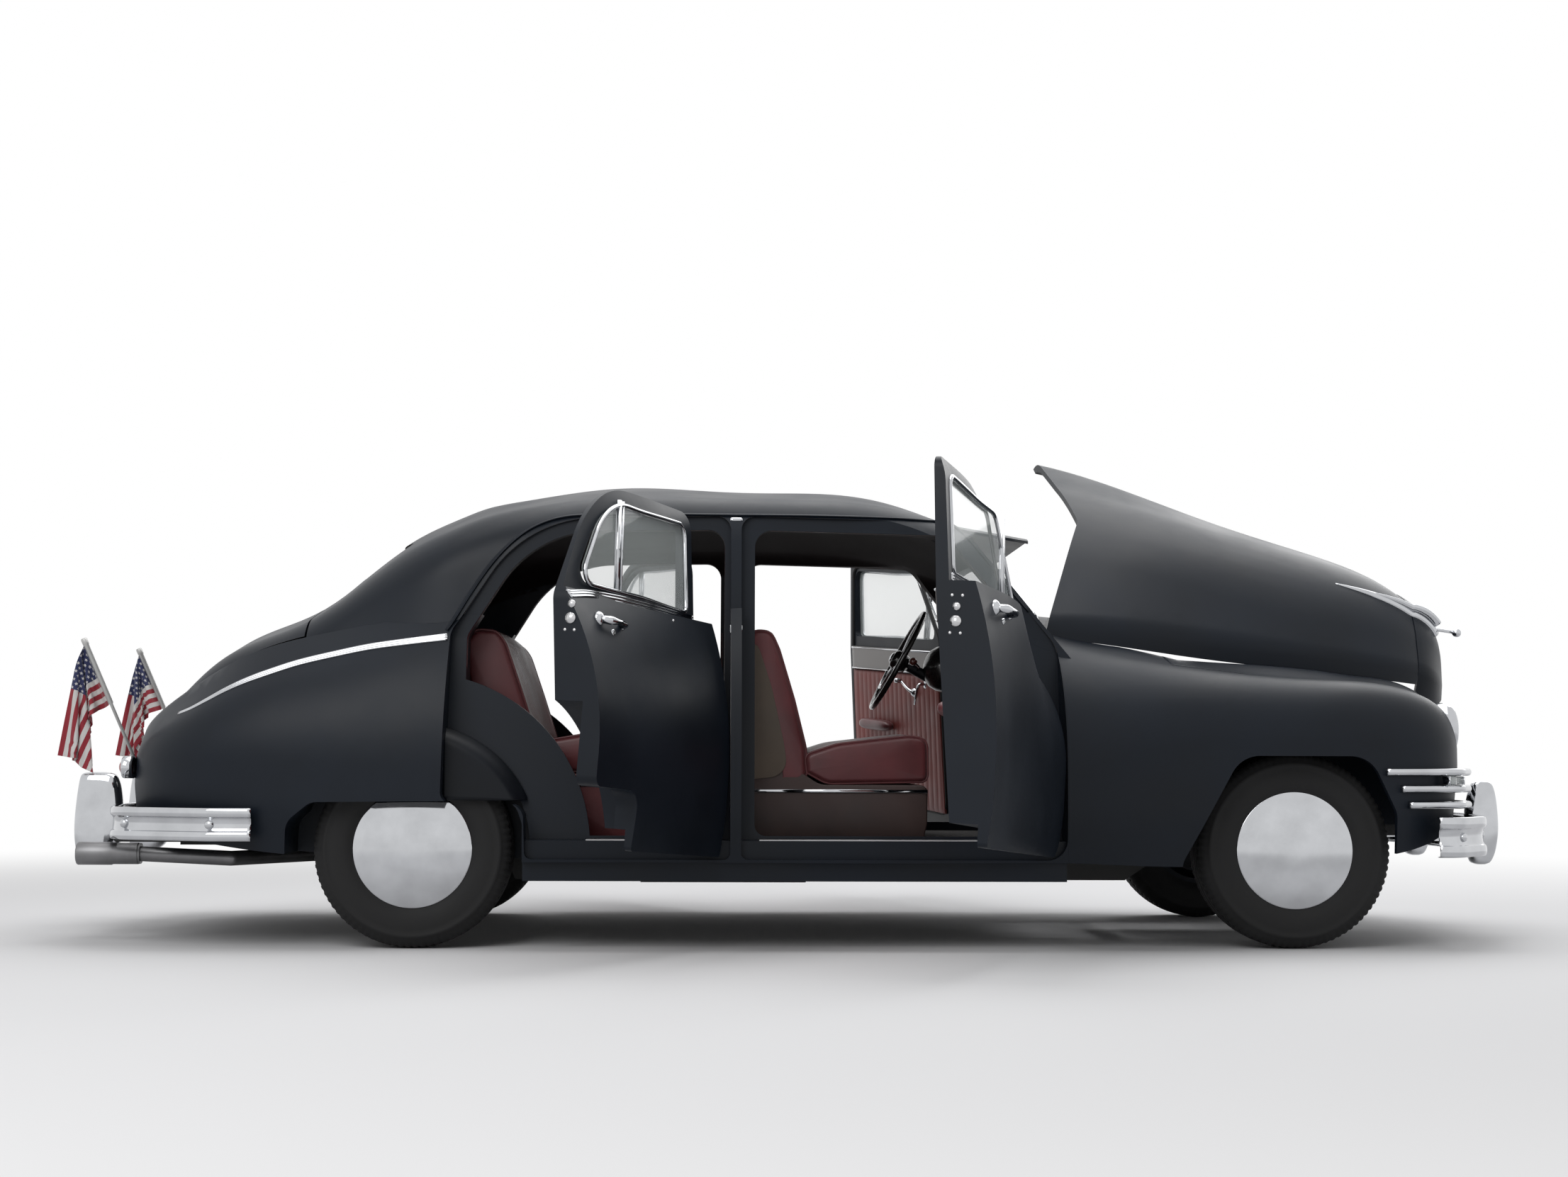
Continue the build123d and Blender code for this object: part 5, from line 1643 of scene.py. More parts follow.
    def armrest(self, place: Place, body: str, turn: Matrix) -> None:
        """A stuffed armrest: superellipse sections along X that shrink by sqrt(1 - |t|^5) towards its ends.

        Args:
            place: which door.
            body: the body that it rides on.
            turn: the turn from the closed door to where it stands.
        """
        x_low, x_high = self.armrest_x[place]
        z = self.armrest_z
        rows, columns = 30, 32
        t = np.linspace(-1, 1, rows)
        angle = np.linspace(0, 2 * np.pi, columns, endpoint=False)
        size = np.maximum((1 - np.abs(t) ** 5) ** 0.5, 0.05)
        wide = 34.0 * np.sign(np.cos(angle)) * np.abs(np.cos(angle)) ** 0.8
        tall = 25.0 * np.sign(np.sin(angle)) * np.abs(np.sin(angle)) ** 0.8
        y = -self.inner_y(np.array([z]))[0] + 46
        x = np.broadcast_to(((x_low + x_high) / 2 + t * (x_high - x_low) / 2)[:, None], (rows, columns))
        points = np.stack([x, y + wide * size[:, None], z + tall * size[:, None]], -1)
        faces = grid_faces(rows, columns, close_columns=True).tolist() + end_caps(rows, columns)
        piece = mesh_piece(f"armrest_{place.value}_right", car_points(points.reshape(-1, 3)), faces)
        outward_faces(piece)
        both_sides(piece, body, MAROON, turn)

    def seal(self, place: Place, body: str, turn: Matrix) -> None:
        """A round rubber seal on the door's inner face, just inside its edge.

        Args:
            place: which door.
            body: the body that it rides on.
            turn: the turn from the closed door to where it stands.
        """
        outline = self.front_seal if place is Place.FRONT else self.rear_seal
        line = even_line(rounded_line(outline), 18.0)[:-1]
        path = car_points(np.column_stack([line[:, 0], -self.inner_y(line[:, 1]) + 3, line[:, 1]]))
        out = np.broadcast_to(np.array([0.0, 1.0, 0.0]), path.shape)
        piece = sweep(f"door_seal_{place.value}_right", path, out, half_round(0.013, 0.007, 0.004, 7),
                      loop=True)
        both_sides(piece, body, RUBBER, turn)


@dataclass
class Cabin:
    """Steering wheel, column lever, gauge pod, dash trim and sill plates."""

    model: FrameModel
    centre: tuple[float, float, float] = (246, 350, 1042)
    angle: float = math.radians(28.9)
    radius: float = 0.2245
    rim_radius: float = 0.011
    grips: int = 48
    grip_depth: float = 0.05
    horn_radius: float = 0.132
    hub: tuple = ((0.0, -0.030), (0.020, -0.0285), (0.034, -0.022), (0.040, -0.012), (0.040, 0.018),
                  (0.032, 0.040), (0.0, 0.042))
    button: tuple = ((0.0, -0.036), (0.014, -0.034), (0.022, -0.029), (0.024, -0.024), (0.0, -0.022))
    pod: tuple = ((0.0, 0.082), (0.03, 0.079), (0.06, 0.066), (0.082, 0.042), (0.093, 0.012), (0.095, -0.05),
                  (0.0, -0.05))
    knob: tuple = ((0.0, 0.026), (0.008, 0.025), (0.012, 0.019), (0.010, 0.010), (0.004, 0.006),
                   (0.004, -0.01), (0.0, -0.01))
    knob_places: tuple = ((255, 985), (228, 985), (120, 965), (60, 965), (-60, 965), (-120, 965))
    line_heights: tuple = (1066, 1052, 1038)
    sill: tuple[float, float] = (-898, 372.4)

    def build(self) -> None:
        """Builds the cabin's pieces."""
        down = Vector((math.cos(self.angle), 0, -math.sin(self.angle)))
        centre = car(*self.centre)
        self.wheel(centre, down)
        self.dash(centre, down)
        self.sills()

    def wheel(self, centre: Vector, down: Vector) -> None:
        """A ring pinched by a cosine into grips, three spokes of three wires, a hub and a horn ring.

        Args:
            centre: the middle of the ring.
            down: the way down the column.
        """
        across, rise = np.array([0.0, 1.0, 0.0]), np.array(down.cross(Vector((0, 1, 0))).normalized())
        turn = np.linspace(0, 2 * np.pi, 144, endpoint=False)
        ring = np.cos(turn)[:, None] * across + np.sin(turn)[:, None] * rise
        mean = self.radius - self.rim_radius
        path = np.array(centre) + ring * mean
        rim = sweep("rim", path, ring, round_profile(self.rim_radius, 16), loop=True,
                    width=1 - self.grip_depth * (1 + np.cos(turn * self.grips)) / 2)
        horn_turn = np.linspace(np.radians(-160), np.radians(-20), 40)
        arc = np.cos(horn_turn)[:, None] * across + np.sin(horn_turn)[:, None] * rise
        horn = np.array(centre) - np.array(down) * 0.012 + arc * self.horn_radius
        pieces = [painted(rim, WHEEL_RESIN), painted(tube("horn", horn, 0.0042, 12), CHROME)]
        for spoke in (90, 210, 330):
            out = math.cos(math.radians(spoke)) * across + math.sin(math.radians(spoke)) * rise
            side = np.cross(out, np.array(down))
            for shift in (-0.008, 0.0, 0.008):
                wire = np.array([np.array(centre) + out * 0.030 + side * shift * 0.8,
                                 np.array(centre) + out * 0.12 + side * shift + np.array(down) * -0.006,
                                 np.array(centre) + out * (mean - 0.004) + side * shift * 1.5])
                pieces.append(painted(tube("wire", smooth_line(wire, 10), 0.0028, 10), CHROME))
        hub = painted(turned("hub", self.hub, centre, down, 40, closed=False), WHEEL_RESIN)
        button = painted(turned("button", self.button, centre, down, 32, closed=False), CHROME)
        whole = joined("steering_wheel_ring", [*pieces, hub, button])
        place_piece(whole, self.model.body_of_node["steering_wheel"])
        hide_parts("steering_wheel")

    def dash(self, centre: Vector, down: Vector) -> None:
        """The gauge pod behind the wheel, knobs, a shift lever and bright lines along the dash.

        Args:
            centre: the middle of the steering wheel.
            down: the way down the column.
        """
        pod = turned("gauge_pod", self.pod, car(428, 350, 1010), Vector((-1, 0, 0.22)), 48, closed=False)
        place_piece(pod, "body", WHEEL_RESIN)
        knobs = [turned("knob", self.knob, car(434, y, z), Vector((-1, 0, 0.1)), 20, closed=False)
                 for y, z in self.knob_places]
        place_piece(joined("dash_knobs", knobs), "body", BROWN_KNOB)
        lines = [straight("line", *[(437 + (1075 - z) * -0.02, y, z) for y in (-640, 640)], (-1, 0, 0),
                          half_round(0.006, 0.004, 0.006)) for z in self.line_heights]
        place_piece(joined("dash_lines", lines), "body", CHROME)
        lever_root = centre + down * 0.085
        lever = np.array([lever_root, lever_root + Vector((0.0, -0.09, 0.012)),
                          lever_root + Vector((-0.03, -0.175, 0.03))])
        place_piece(tube("shift_lever", smooth_line(lever, 14), 0.0048, 12), "body", CHROME)
        knob = turned("shift_knob", [(0.0, 0.018), (0.009, 0.0165), (0.0150, 0.009), (0.0160, 0.0),
                                     (0.012, -0.010), (0.006, -0.017), (0.0, -0.018)], Vector(lever[-1]),
                      Vector((-0.2, -0.9, 0.2)), 24, closed=False)
        place_piece(knob, "body", BROWN_KNOB)

    def sills(self) -> None:
        """Ribbed plates on the sills: a saw-tooth section carried along each doorway."""
        across = np.linspace(-34, 34, 35)
        top = 1.6 + 1.4 * np.abs(np.sin(across / 34 * np.pi * 3.5))
        profile = np.concatenate([np.column_stack([across, top]),
                                  [(36, -1.5), (36, -9), (34, -9), (33, -2), (-34, -2)]]) / 1000
        for name, x_low, x_high in (("front", -340, 585), ("rear", -930, -476)):
            plate = straight(f"sill_plate_{name}_right", (x_low, *self.sill), (x_high, *self.sill), (0, 0, 1),
                             profile, smooth=False)
            both_sides(plate, "body", ALUMINIUM)


@dataclass
class RearEnd:
    """Tail lamps and the exhaust's tip."""

    rim: tuple = ((0.0395, -0.030), (0.0395, 0.002), (0.037, 0.008), (0.031, 0.010), (0.0295, 0.006),
                  (0.030, -0.030))
    lens_radius: float = 0.030
    lens_dome: float = 0.016
    pipe: tuple = ((0.0365, -0.145), (0.0375, -0.140), (0.0375, -0.055), (0.0400, -0.050), (0.0400, 0.064),
                   (0.0385, 0.068), (0.0340, 0.068), (0.0335, 0.060), (0.0335, -0.145))
    pipe_end: tuple[float, float, float] = (-2642, -650, 312)

    def build(self) -> None:
        """Builds the rear pieces, each lens a dome that falls with the square of the radius."""
        low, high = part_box("tail_lamps")
        centre = Vector((low[0], low[1] + (high[2] - low[2]) / 2, (low[2] + high[2]) / 2))
        rear = Vector((-1, 0, 0))
        rim = turned("tail_lamp_rim_right", self.rim, centre, rear, 48)
        both_sides(rim, "body", CHROME)
        a = np.linspace(0.0, self.lens_radius, 12)
        dome = 0.006 + self.lens_dome * (1 - (a / self.lens_radius) ** 2)
        lens = turned("tail_lamp_lens_right", [*zip(a, dome), (self.lens_radius, -0.02), (0.0, -0.02)],
                      centre, rear, 48, closed=False)
        both_sides(lens, "body", RED_LENS)
        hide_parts("tail_lamps")
        tip = turned("exhaust_tip", self.pipe, car(*self.pipe_end), rear, 56)
        place_piece(tip, "body", DARK_STEEL)


@dataclass
class Flags:
    """Two small cloth flags that hang limp from leaning silver poles."""

    hoist: float = 0.235
    fly: float = 0.405
    rows: int = 27
    columns: int = 45
    steps: int = 50
    pole_foot: tuple[float, float, float] = (-2556, -400, 575)
    pole_top: tuple[float, float, float] = (-2774, -400, 1065)

    def build(self) -> None:
        """Builds the right pole and flag and their mirror images."""
        foot, top = car(*self.pole_foot), car(*self.pole_top)
        axis = (top - foot).normalized()
        length = (top - foot).length
        sleeve = length - 0.245
        pole = turned("flag_pole_right", [(0.0, -0.002), (0.0058, -0.002), (0.0058, sleeve - 0.004),
                                          (0.0090, sleeve), (0.0092, length - 0.016),
                                          (0.0112, length - 0.014), (0.0116, length + 0.006),
                                          (0.0100, length + 0.010), (0.0, length + 0.010)], foot, axis, 28,
                      closed=False)
        clip = side_plate("clip", ((-2576, 560, 3), (-2541, 560, 3), (-2541, 592, 3), (-2576, 592, 3)), -415,
                          -385, 2)
        place_piece(mirrored(pole, "flag_pole_left"), "body", SILVER)
        place_piece(pole, "body", SILVER)
        both_sides(joined("flag_clip_right", [clip]), "body", SILVER)
        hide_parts("flag_poles")
        flag = self.cloth(top - axis * 0.018, -axis)
        flag.data.materials.append(flag_cloth())
        place_piece(flag, "body")
        twin = place_piece(mirrored(flag, "flag_cloth_left"), "body")
        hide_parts("flag_right")
        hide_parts("flag_left")

    def cloth(self, top: Vector, down: Vector) -> bpy.types.Object:
        """The flag let fall from level, pinned along the pole, by a cloth simulation.

        It starts as a flat sheet at right angles to the pole, with a ripple of
        8 mm * sin(2.5 pi v + 2 u) across it.

        Args:
            top: the hoist's upper corner.
            down: the pole's direction downwards.

        Returns:
            The piece with the simulation's last shape as its mesh.
        """
        u, v = np.meshgrid(np.linspace(0, 1, self.rows), np.linspace(0, 1, self.columns), indexing="ij")
        fly = np.array([down[2], 0.0, -down[0]])
        grid = (np.array(top) + np.array([-0.010, 0.0, 0.0]) + u[..., None] * self.hoist * np.array(down)
                + v[..., None] * self.fly * fly)
        grid[..., 1] += 0.008 * np.sin(2.5 * np.pi * v + 2 * u) * np.minimum(1, v * 6)
        flag = mesh_piece("flag_cloth_right", grid.reshape(-1, 3), grid_faces(self.rows, self.columns))
        layer = flag.data.uv_layers.new(name="flag")
        corner = np.zeros(len(flag.data.loops), np.int32)
        flag.data.loops.foreach_get("vertex_index", corner)
        layer.data.foreach_set("uv", np.column_stack([v.reshape(-1)[corner],
                                                      u.reshape(-1)[corner]]).reshape(-1))
        pins = flag.vertex_groups.new(name="hoist")
        pins.add([int(i) for i in np.arange(self.rows) * self.columns], 1.0, "REPLACE")
        cloth = flag.modifiers.new("fall", "CLOTH")
        settings = cloth.settings
        settings.vertex_group_mass = "hoist"
        settings.quality = 8
        settings.mass = 0.06
        settings.air_damping = 3.0
        settings.tension_stiffness = settings.compression_stiffness = 25
        settings.shear_stiffness = 8
        settings.bending_stiffness = 0.03
        cloth.collision_settings.use_self_collision = True
        cloth.collision_settings.self_distance_min = 0.002
        cloth.point_cache.frame_end = self.steps
        for step in range(1, self.steps + 1):
            bpy.context.scene.frame_set(step)
        settled = flag.evaluated_get(bpy.context.evaluated_depsgraph_get())
        places = np.zeros(len(flag.data.vertices) * 3)
        settled.data.vertices.foreach_get("co", places)
        flag.modifiers.clear()
        flag.data.vertices.foreach_set("co", places)
        flag.data.update()
        bpy.context.scene.frame_set(1)
        return flag


class NodeMath:
    """Short calls for chains of math nodes."""

    def __init__(self, nodes: bpy.types.Nodes, links: bpy.types.NodeLinks) -> None:
        """Keeps a material's nodes and links."""
        self.nodes, self.links = nodes, links

    def of(self, operation: str, *values: object) -> bpy.types.NodeSocket:
        """Makes one math node.

        Args:
            operation: its operation.
            values: the sockets or numbers that it works on.

        Returns:
            Its output.
        """
        node = self.nodes.new("ShaderNodeMath")
        node.operation = operation
        for i, value in enumerate(values):
            if isinstance(value, (int, float)):
                node.inputs[i].default_value = value
            else:
                self.links.new(value, node.inputs[i])
        return node.outputs[0]


def flag_cloth() -> bpy.types.Material:
    """The national flag in woven cloth on the sheet's own UV map.

    U runs along the fly and V down the hoist. Thirteen stripes are the parity of floor(13 V). The canton is
    the corner U < 0.4, V < 7/13, where an 11 by 9 lattice holds a star in every cell of even parity: a dot
    whose radius shrinks with the cosine of five times the angle. A fine weave is the product of two waves,
    used as bump.
    """
    material, nodes, links, shader = new_material("flag_cloth")
    math_of = NodeMath(nodes, links).of
    uv = nodes.new("ShaderNodeUVMap")
    uv.uv_map = "flag"
    parts = nodes.new("ShaderNodeSeparateXYZ")
    links.new(uv.outputs["UV"], parts.inputs[0])
    u, v = parts.outputs[0], parts.outputs[1]
    stripe = math_of("MODULO", math_of("FLOOR", math_of("MULTIPLY", v, 13.0)), 2.0)
    canton = math_of("MULTIPLY", math_of("LESS_THAN", u, 0.4), math_of("LESS_THAN", v, 7 / 13))
    x, y = math_of("MULTIPLY", u, 11 / 0.4), math_of("MULTIPLY", v, 9 * 13 / 7)
    even = math_of("LESS_THAN", math_of("MODULO", math_of("ADD", math_of("FLOOR", x), math_of("FLOOR", y)),
                                        2.0), 0.5)
    dx = math_of("MULTIPLY", math_of("SUBTRACT", math_of("FRACT", x), 0.5), 1.25)
    dy = math_of("SUBTRACT", math_of("FRACT", y), 0.5)
    away = math_of("SQRT", math_of("ADD", math_of("MULTIPLY", dx, dx), math_of("MULTIPLY", dy, dy)))
    angle = math_of("ARCTAN2", dx, math_of("MULTIPLY", dy, -1.0))
    point = math_of("MULTIPLY_ADD", math_of("COSINE", math_of("MULTIPLY", angle, 5.0)), 0.14, 0.34)
    star = math_of("MULTIPLY", math_of("LESS_THAN", away, point), even)

    def mix(factor: object, first: object, second: object) -> bpy.types.NodeSocket:
        """Two colours or sockets mixed by a factor."""
        node = nodes.new("ShaderNodeMix")
        node.data_type = "RGBA"
        links.new(factor, node.inputs["Factor"])
        for value, socket in ((first, node.inputs[6]), (second, node.inputs[7])):
            if isinstance(value, tuple):
                socket.default_value = (*value, 1)
            else:
                links.new(value, socket)
        return node.outputs[2]

    red, white, blue = (0.26, 0.010, 0.022), (0.60, 0.585, 0.57), (0.010, 0.016, 0.075)
    links.new(mix(canton, mix(stripe, red, white), mix(star, blue, white)), shader.inputs["Base Color"])
    set_inputs(shader, Roughness=0.75, Sheen_Weight=0.25)
    weave = math_of("MULTIPLY", math_of("SINE", math_of("MULTIPLY", u, 2600.0)),
                    math_of("SINE", math_of("MULTIPLY", v, 1500.0)))
    bump = add_node(nodes, "Bump", Strength=0.25, Distance=0.0003)
    links.new(weave, bump.inputs["Height"])
    links.new(bump.outputs["Normal"], shader.inputs["Normal"])
    return material


@dataclass
class BodyDetails:
    """Drip rails, windlace, latches, windshield trim, licence lamp and the ribs under the hood."""

    model: FrameModel
    trim: BrightTrim
    drip: tuple = ((-1424, 1090), (-1345, 1228), (-1262, 1348), (-1165, 1440), (-1060, 1489), (-940, 1504),
                   (-440, 1507), (-50, 1505), (250, 1497), (352, 1486), (430, 1398), (530, 1272), (612, 1172))
    front_lip: tuple = ((-361, 640, 0), (-361, 1461, 60), (326, 1446, 90), (566, 1150, 80), (580, 640, 0))
    rear_lip: tuple = ((-455, 640, 0), (-455, 1461, 60), (-1129, 1451, 400), (-1362, 1077, 60),
                       (-1362, 960, 0))
    screen_foot: tuple[float, float, float] = (772.0, 0, 1165)
    screen_corner: tuple[float, float, float] = (650.0, -640, 1165)
    screen_rake: float = 0.829
    rib_places: tuple = ((960, 520), (1330, 430), (1700, 340))

    def build(self) -> None:
        """Builds each group in turn."""
        self.drip_rail()
        self.windlace()
        self.latches()
        self.windshield()
        self.licence_lamp()
        self.hood_ribs()

    def drip_rail(self) -> None:
        """A narrow gutter over both doors: a small hooked section laid on the closed side."""
        hook = np.array([(-7, -1), (-7, 7), (-5.5, 8.5), (-4, 7), (-4, 2.5), (5, 1.5), (7, 0),
                         (7, -2)]) / 1000
        self.trim.strip("drip_rail_right", self.drip, hook, "body", 120, PAINT)

    def windlace(self) -> None:
        """A stuffed maroon edging inside each doorway, at the wall's inner lip."""
        cards = DoorCards(self.model)
        for name, outline in (("front", self.front_lip), ("rear", self.rear_lip)):
            line = even_line(rounded_line(outline), 14.0)
            path = car_points(np.column_stack([line[:, 0], -cards.inner_y(line[:, 1]) + 24, line[:, 1]]))
            middle = path.mean(0)
            out = unit((path - middle) * np.array([1.0, 0.0, 1.0]))
            cord = sweep(f"windlace_{name}_right", path, out, round_profile(0.0065, 10))
            both_sides(cord, "body", MAROON)

    def latches(self) -> None:
        """A latch, a dovetail and four screws on each door's rear edge, found by a ray from behind."""
        for place, z, reach in (("front", 986, -800), ("rear", 1010, -1900)):
            body = f"door_{place}_right"
            door = Surface(self.model, [body])
            pieces = []
            for shift, size in ((0, 0.017), (44, 0.012)):
                found = door.hit(car(reach, LATCH_Y, z + shift), Vector((1, 0, 0)))
                if found is None:
                    continue
                pieces.append(turned("disc", [(0.0, 0.0072), (size * 0.5, 0.0070), (size * 0.6, 0.0048),
                                              (size, 0.0040), (size, -0.004), (0.0, -0.004)], found[0],
                                     Vector((-1, 0, 0)), 24, closed=False))
            for dy, dz in ((-16, 78), (16, 78), (-16, -36), (16, -36)):
                found = door.hit(car(reach, LATCH_Y + dy, z + dz), Vector((1, 0, 0)))
                if found is None:
                    continue
                pieces.append(turned("screw", [(0.0, 0.0025), (0.004, 0.002), (0.0052, 0.0), (0.0052, -0.003),
                                               (0.0, -0.003)],
                                     found[0], Vector((-1, 0, 0)), 14, closed=False))
            both_sides(joined(f"door_latch_{place}_right", pieces), body, DULL_CHROME,
                       self.model.closed_to_rest(body))

    def windshield(self) -> None:
        """The bright centre strip and lower strips of the V windshield, on its two raked planes."""
        foot, corner = np.array(self.screen_foot), np.array(self.screen_corner)
        rake = np.array([-self.screen_rake, 0, 1.0])
        normal = unit(np.cross(corner - foot, rake))
        normal = normal if normal[0] > 0 else -normal
        middle = sweep("post", car_points([foot + rake * -12, foot + rake * 236]),
                       np.array([unit(np.array([1.0, 0, self.screen_rake]))] * 2),
                       half_round(0.030, 0.010, 0.004, 10))
        low = sweep("low", car_points([foot + rake * 8, foot + (corner - foot) * 0.97 + rake * 8]),
                    np.array([normal] * 2), half_round(0.016, 0.006, 0.003, 8))
        place_piece(joined("windshield_post_strip", [middle]), "body", CHROME)
        both_sides(joined("windshield_strip_right", [low]), "body", CHROME)

    def licence_lamp(self) -> None:
        """A bright lamp hood over the licence plate's holder, and a thin dark rim for the plate."""
        hood = side_plate("licence_lamp", ((-2594, 655, 6), (-2590, 684, 14), (-2500, 690, 4),
                                           (-2500, 648, 4)), -48, 48, 6)
        place_piece(hood, "trunk_lid", CHROME)
        rim = side_plate("plate_rim", ((-2563, 492, 2), (-2556, 492, 2), (-2556, 648, 2), (-2563, 648, 2)),
                         -166, 166, 2)
        place_piece(rim, "body", JAMB_PAINT)

    def hood_ribs(self) -> None:
        """Pressed ribs across the hood's underside."""
        hood = Surface(self.model, ["hood"])
        rib = np.array([(-26, -2), (-26, 1), (-16, 2), (-11, 14), (11, 14), (16, 2), (26, 1),
                        (26, -2)]) / 1000
        pieces = []
        for x, half in self.rib_places:
            places = []
            for y in np.linspace(-half, half, 41):
                found = hood.hit(car(x, y, 500), Vector((0, 0, 1)))
                if found is not None:
                    places.append(found[0])
            path = np.array(places)
            tangent = unit(np.gradient(path, axis=0))
            pieces.append(sweep("rib", path, np.cross([1.0, 0, 0], tangent) * -1, rib))
        place_piece(joined("hood_ribs", pieces), "hood", JAMB_PAINT, self.model.closed_to_rest("hood"))


@dataclass
class WheelHousing:
    """The rear wheelhouses' outer walls, which show in the rear doorways over the tyres.

    Each bulges out over the tyre and rounds back to the wall: its y is the bulge less
    depth * ((r - flat) / (rim - flat))^2 beyond the radius where it stops being flat.
    """

    axle: tuple[float, float] = (-1524, 340)
    rim: float = 426
    flat: float = 372
    bulge: float = -896
    depth: float = 46
    rear_x: float = -1420
    low_z: float = 506
    wall: tuple[float, float, float] = (0, 0.003, 0.001)

    def build(self) -> None:
        """Builds the right wall and its mirror image."""
        reach = self.axle[0] + math.sqrt(self.rim ** 2 - (self.low_z + 10 - self.axle[1]) ** 2)
        rows = []
        for x in np.linspace(self.rear_x, reach, 40):
            top = self.axle[1] + math.sqrt(self.rim ** 2 - (x - self.axle[0]) ** 2)
            z = self.low_z + (top - self.low_z) * (1 - (1 - np.linspace(0, 1, 30)) ** 1.8)
            r = np.hypot(x - self.axle[0], z - self.axle[1])
            y = self.bulge + self.depth * np.clip((r - self.flat) / (self.rim - self.flat), 0, 1) ** 2
            row = np.column_stack([np.full(30, x), y, z])
            lip = row[0] + np.array([0, 16, -1])
            rows.append(np.concatenate([[lip], row]))
        front = car_points(rows)
        wall = thick_sheet("wheelhouse_wall_right", front, front + np.array(self.wall))
        both_sides(wall, "body", JAMB_PAINT)


@dataclass
class HoodLedge:
    """The front fenders' inner shoulders, which rise to the hood's edge.

    Each lies on the fender, over which it stands by (1 - s)^2 (1 + 2 s) of the rise at its inner edge, with
    s from 0 there to 1 at the fender's crest.
    """

    model: FrameModel
    inner: tuple = ((1120, -562, 1014), (1300, -514, 1006), (1500, -474, 997), (1700, -430, 983),
                    (1850, -400, 965), (1950, -378, 956), (2030, -362, 942), (2100, -350, 915),
                    (2128, -346, 895))
    width: float = 190.0
    skin: float = 0.0012

    def build(self) -> None:
        """Builds the right shoulder and its mirror image."""
        fender = Surface(self.model, ["fender_front_right"])
        line = smooth_line(self.inner, 70)
        rows = []
        for x, y, z in line:
            base = []
            for share in np.linspace(0, 1, 17):
                found = fender.hit(car(x, y - share * self.width, 1400), Vector((0, 0, -1)))
                base.append((share, found[0] if found else None))
            if any(place is None for _, place in base):
                continue
            rise = max(0.0, z / 1000 - base[0][1].z)
            row = [(p.x, p.y, p.z + self.skin + rise * (1 - s) ** 2 * (1 + 2 * s)) for s, p in base]
            rows.append([(row[0][0], row[0][1] + 0.002, row[0][2] - 0.030), *row])
        top = np.array(rows)
        low = top - np.array([0, 0, 0.0025])
        low[:, 0, 2] += 0.0025
        low[:, 0, 1] -= 0.0025
        both_sides(thick_sheet("hood_ledge_right", top, low), "body", PAINT)


@dataclass
class EngineBay:
    """The engine with its head, manifold, air cleaner and fan."""

    block: tuple = ((982, 378, 12), (1816, 378, 12), (1818, 700, 14), (1800, 828, 16), (1000, 828, 16),
                    (982, 700, 14))
    head: tuple = ((1012, 826, 4), (1788, 826, 4), (1788, 872, 8), (1012, 872, 8))
    cleaner: tuple = ((0.0, 0.0), (0.05, 0.0), (0.055, 0.03), (0.12, 0.035), (0.132, 0.045), (0.132, 0.105),
                      (0.124, 0.118), (0.05, 0.128), (0.018, 0.130), (0.014, 0.142), (0.0, 0.143))
    ports: tuple = (1080, 1220, 1360, 1500, 1640)
    blades: int = 4
    fan_height: float = 640

    def build(self) -> None:
        """Builds the engine in place of its block, each fan blade a sheet whose pitch is 0.3 of its width."""
        block = side_plate("block", self.block, -149, 149, 10)
        head = side_plate("head", self.head, -104, 104, 6)
        bolts = [turned("bolt", [(0.0, 0.014), (0.011, 0.013), (0.012, -0.004), (0.0, -0.004)],
                        car(x, y, 872), Vector((0, 0, 1)), 6, closed=False) for x in range(1050, 1780, 90)
                 for y in (-84, 84)]
        pipes = [tube("pipe", car_points(smooth_line([(x, -140, 720), (x, -190, 726), (x + 12, -206, 690)],
                                                     8)), 0.022, 12)
                 for x in self.ports]
        rail = tube("manifold", car_points([(1050, -206, 676), (1690, -206, 676)]), 0.032, 16)
        iron = joined("engine_block", [block, head, *bolts, *pipes, rail])
        place_piece(iron, "body", CAST_IRON)
        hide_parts("engine")
        cleaner = turned("air_cleaner", self.cleaner, car(1390, 0, 868), Vector((0, 0, 1)), 48, closed=False)
        place_piece(cleaner, "body", JAMB_PAINT)
        blades = []
        for k in range(self.blades):
            a = math.radians(45 + 360 / self.blades * k)
            out, side = np.array([0, math.cos(a), math.sin(a)]), np.array([0, -math.sin(a), math.cos(a)])
            hub = np.array(car(1872, 0, self.fan_height))
            r = np.linspace(0.02, 0.19, 8)[:, None, None]
            w = np.linspace(-0.032, 0.032, 5)[None, :, None]
            grid = hub + out * r + side * w * (0.6 + r * 2.2) + np.array([0.30, 0, 0]) * w
            blades.append(thick_sheet("blade", grid, grid + np.array([0.002, 0, 0])))
        shaft = tube("shaft", car_points([(x, 0, self.fan_height) for x in (1815, 1884)]), 0.028, 20)
        place_piece(joined("cooling_fan", [*blades, shaft]), "body", DARK_STEEL)


def background_rays(nodes: bpy.types.Nodes, links: bpy.types.NodeLinks) -> bpy.types.NodeSocket:
    """One for camera, glossy and transmission rays, so that metal and glass show the white background.

    Args:
        nodes: the tree's nodes.
        links: its links.

    Returns:
        The socket with the greatest of the three.
    """
    path = nodes.new("ShaderNodeLightPath")
    math_of = NodeMath(nodes, links).of
    seen = math_of("MAXIMUM", path.outputs["Is Camera Ray"], path.outputs["Is Transmission Ray"])
    return math_of("MAXIMUM", seen, path.outputs["Is Glossy Ray"])


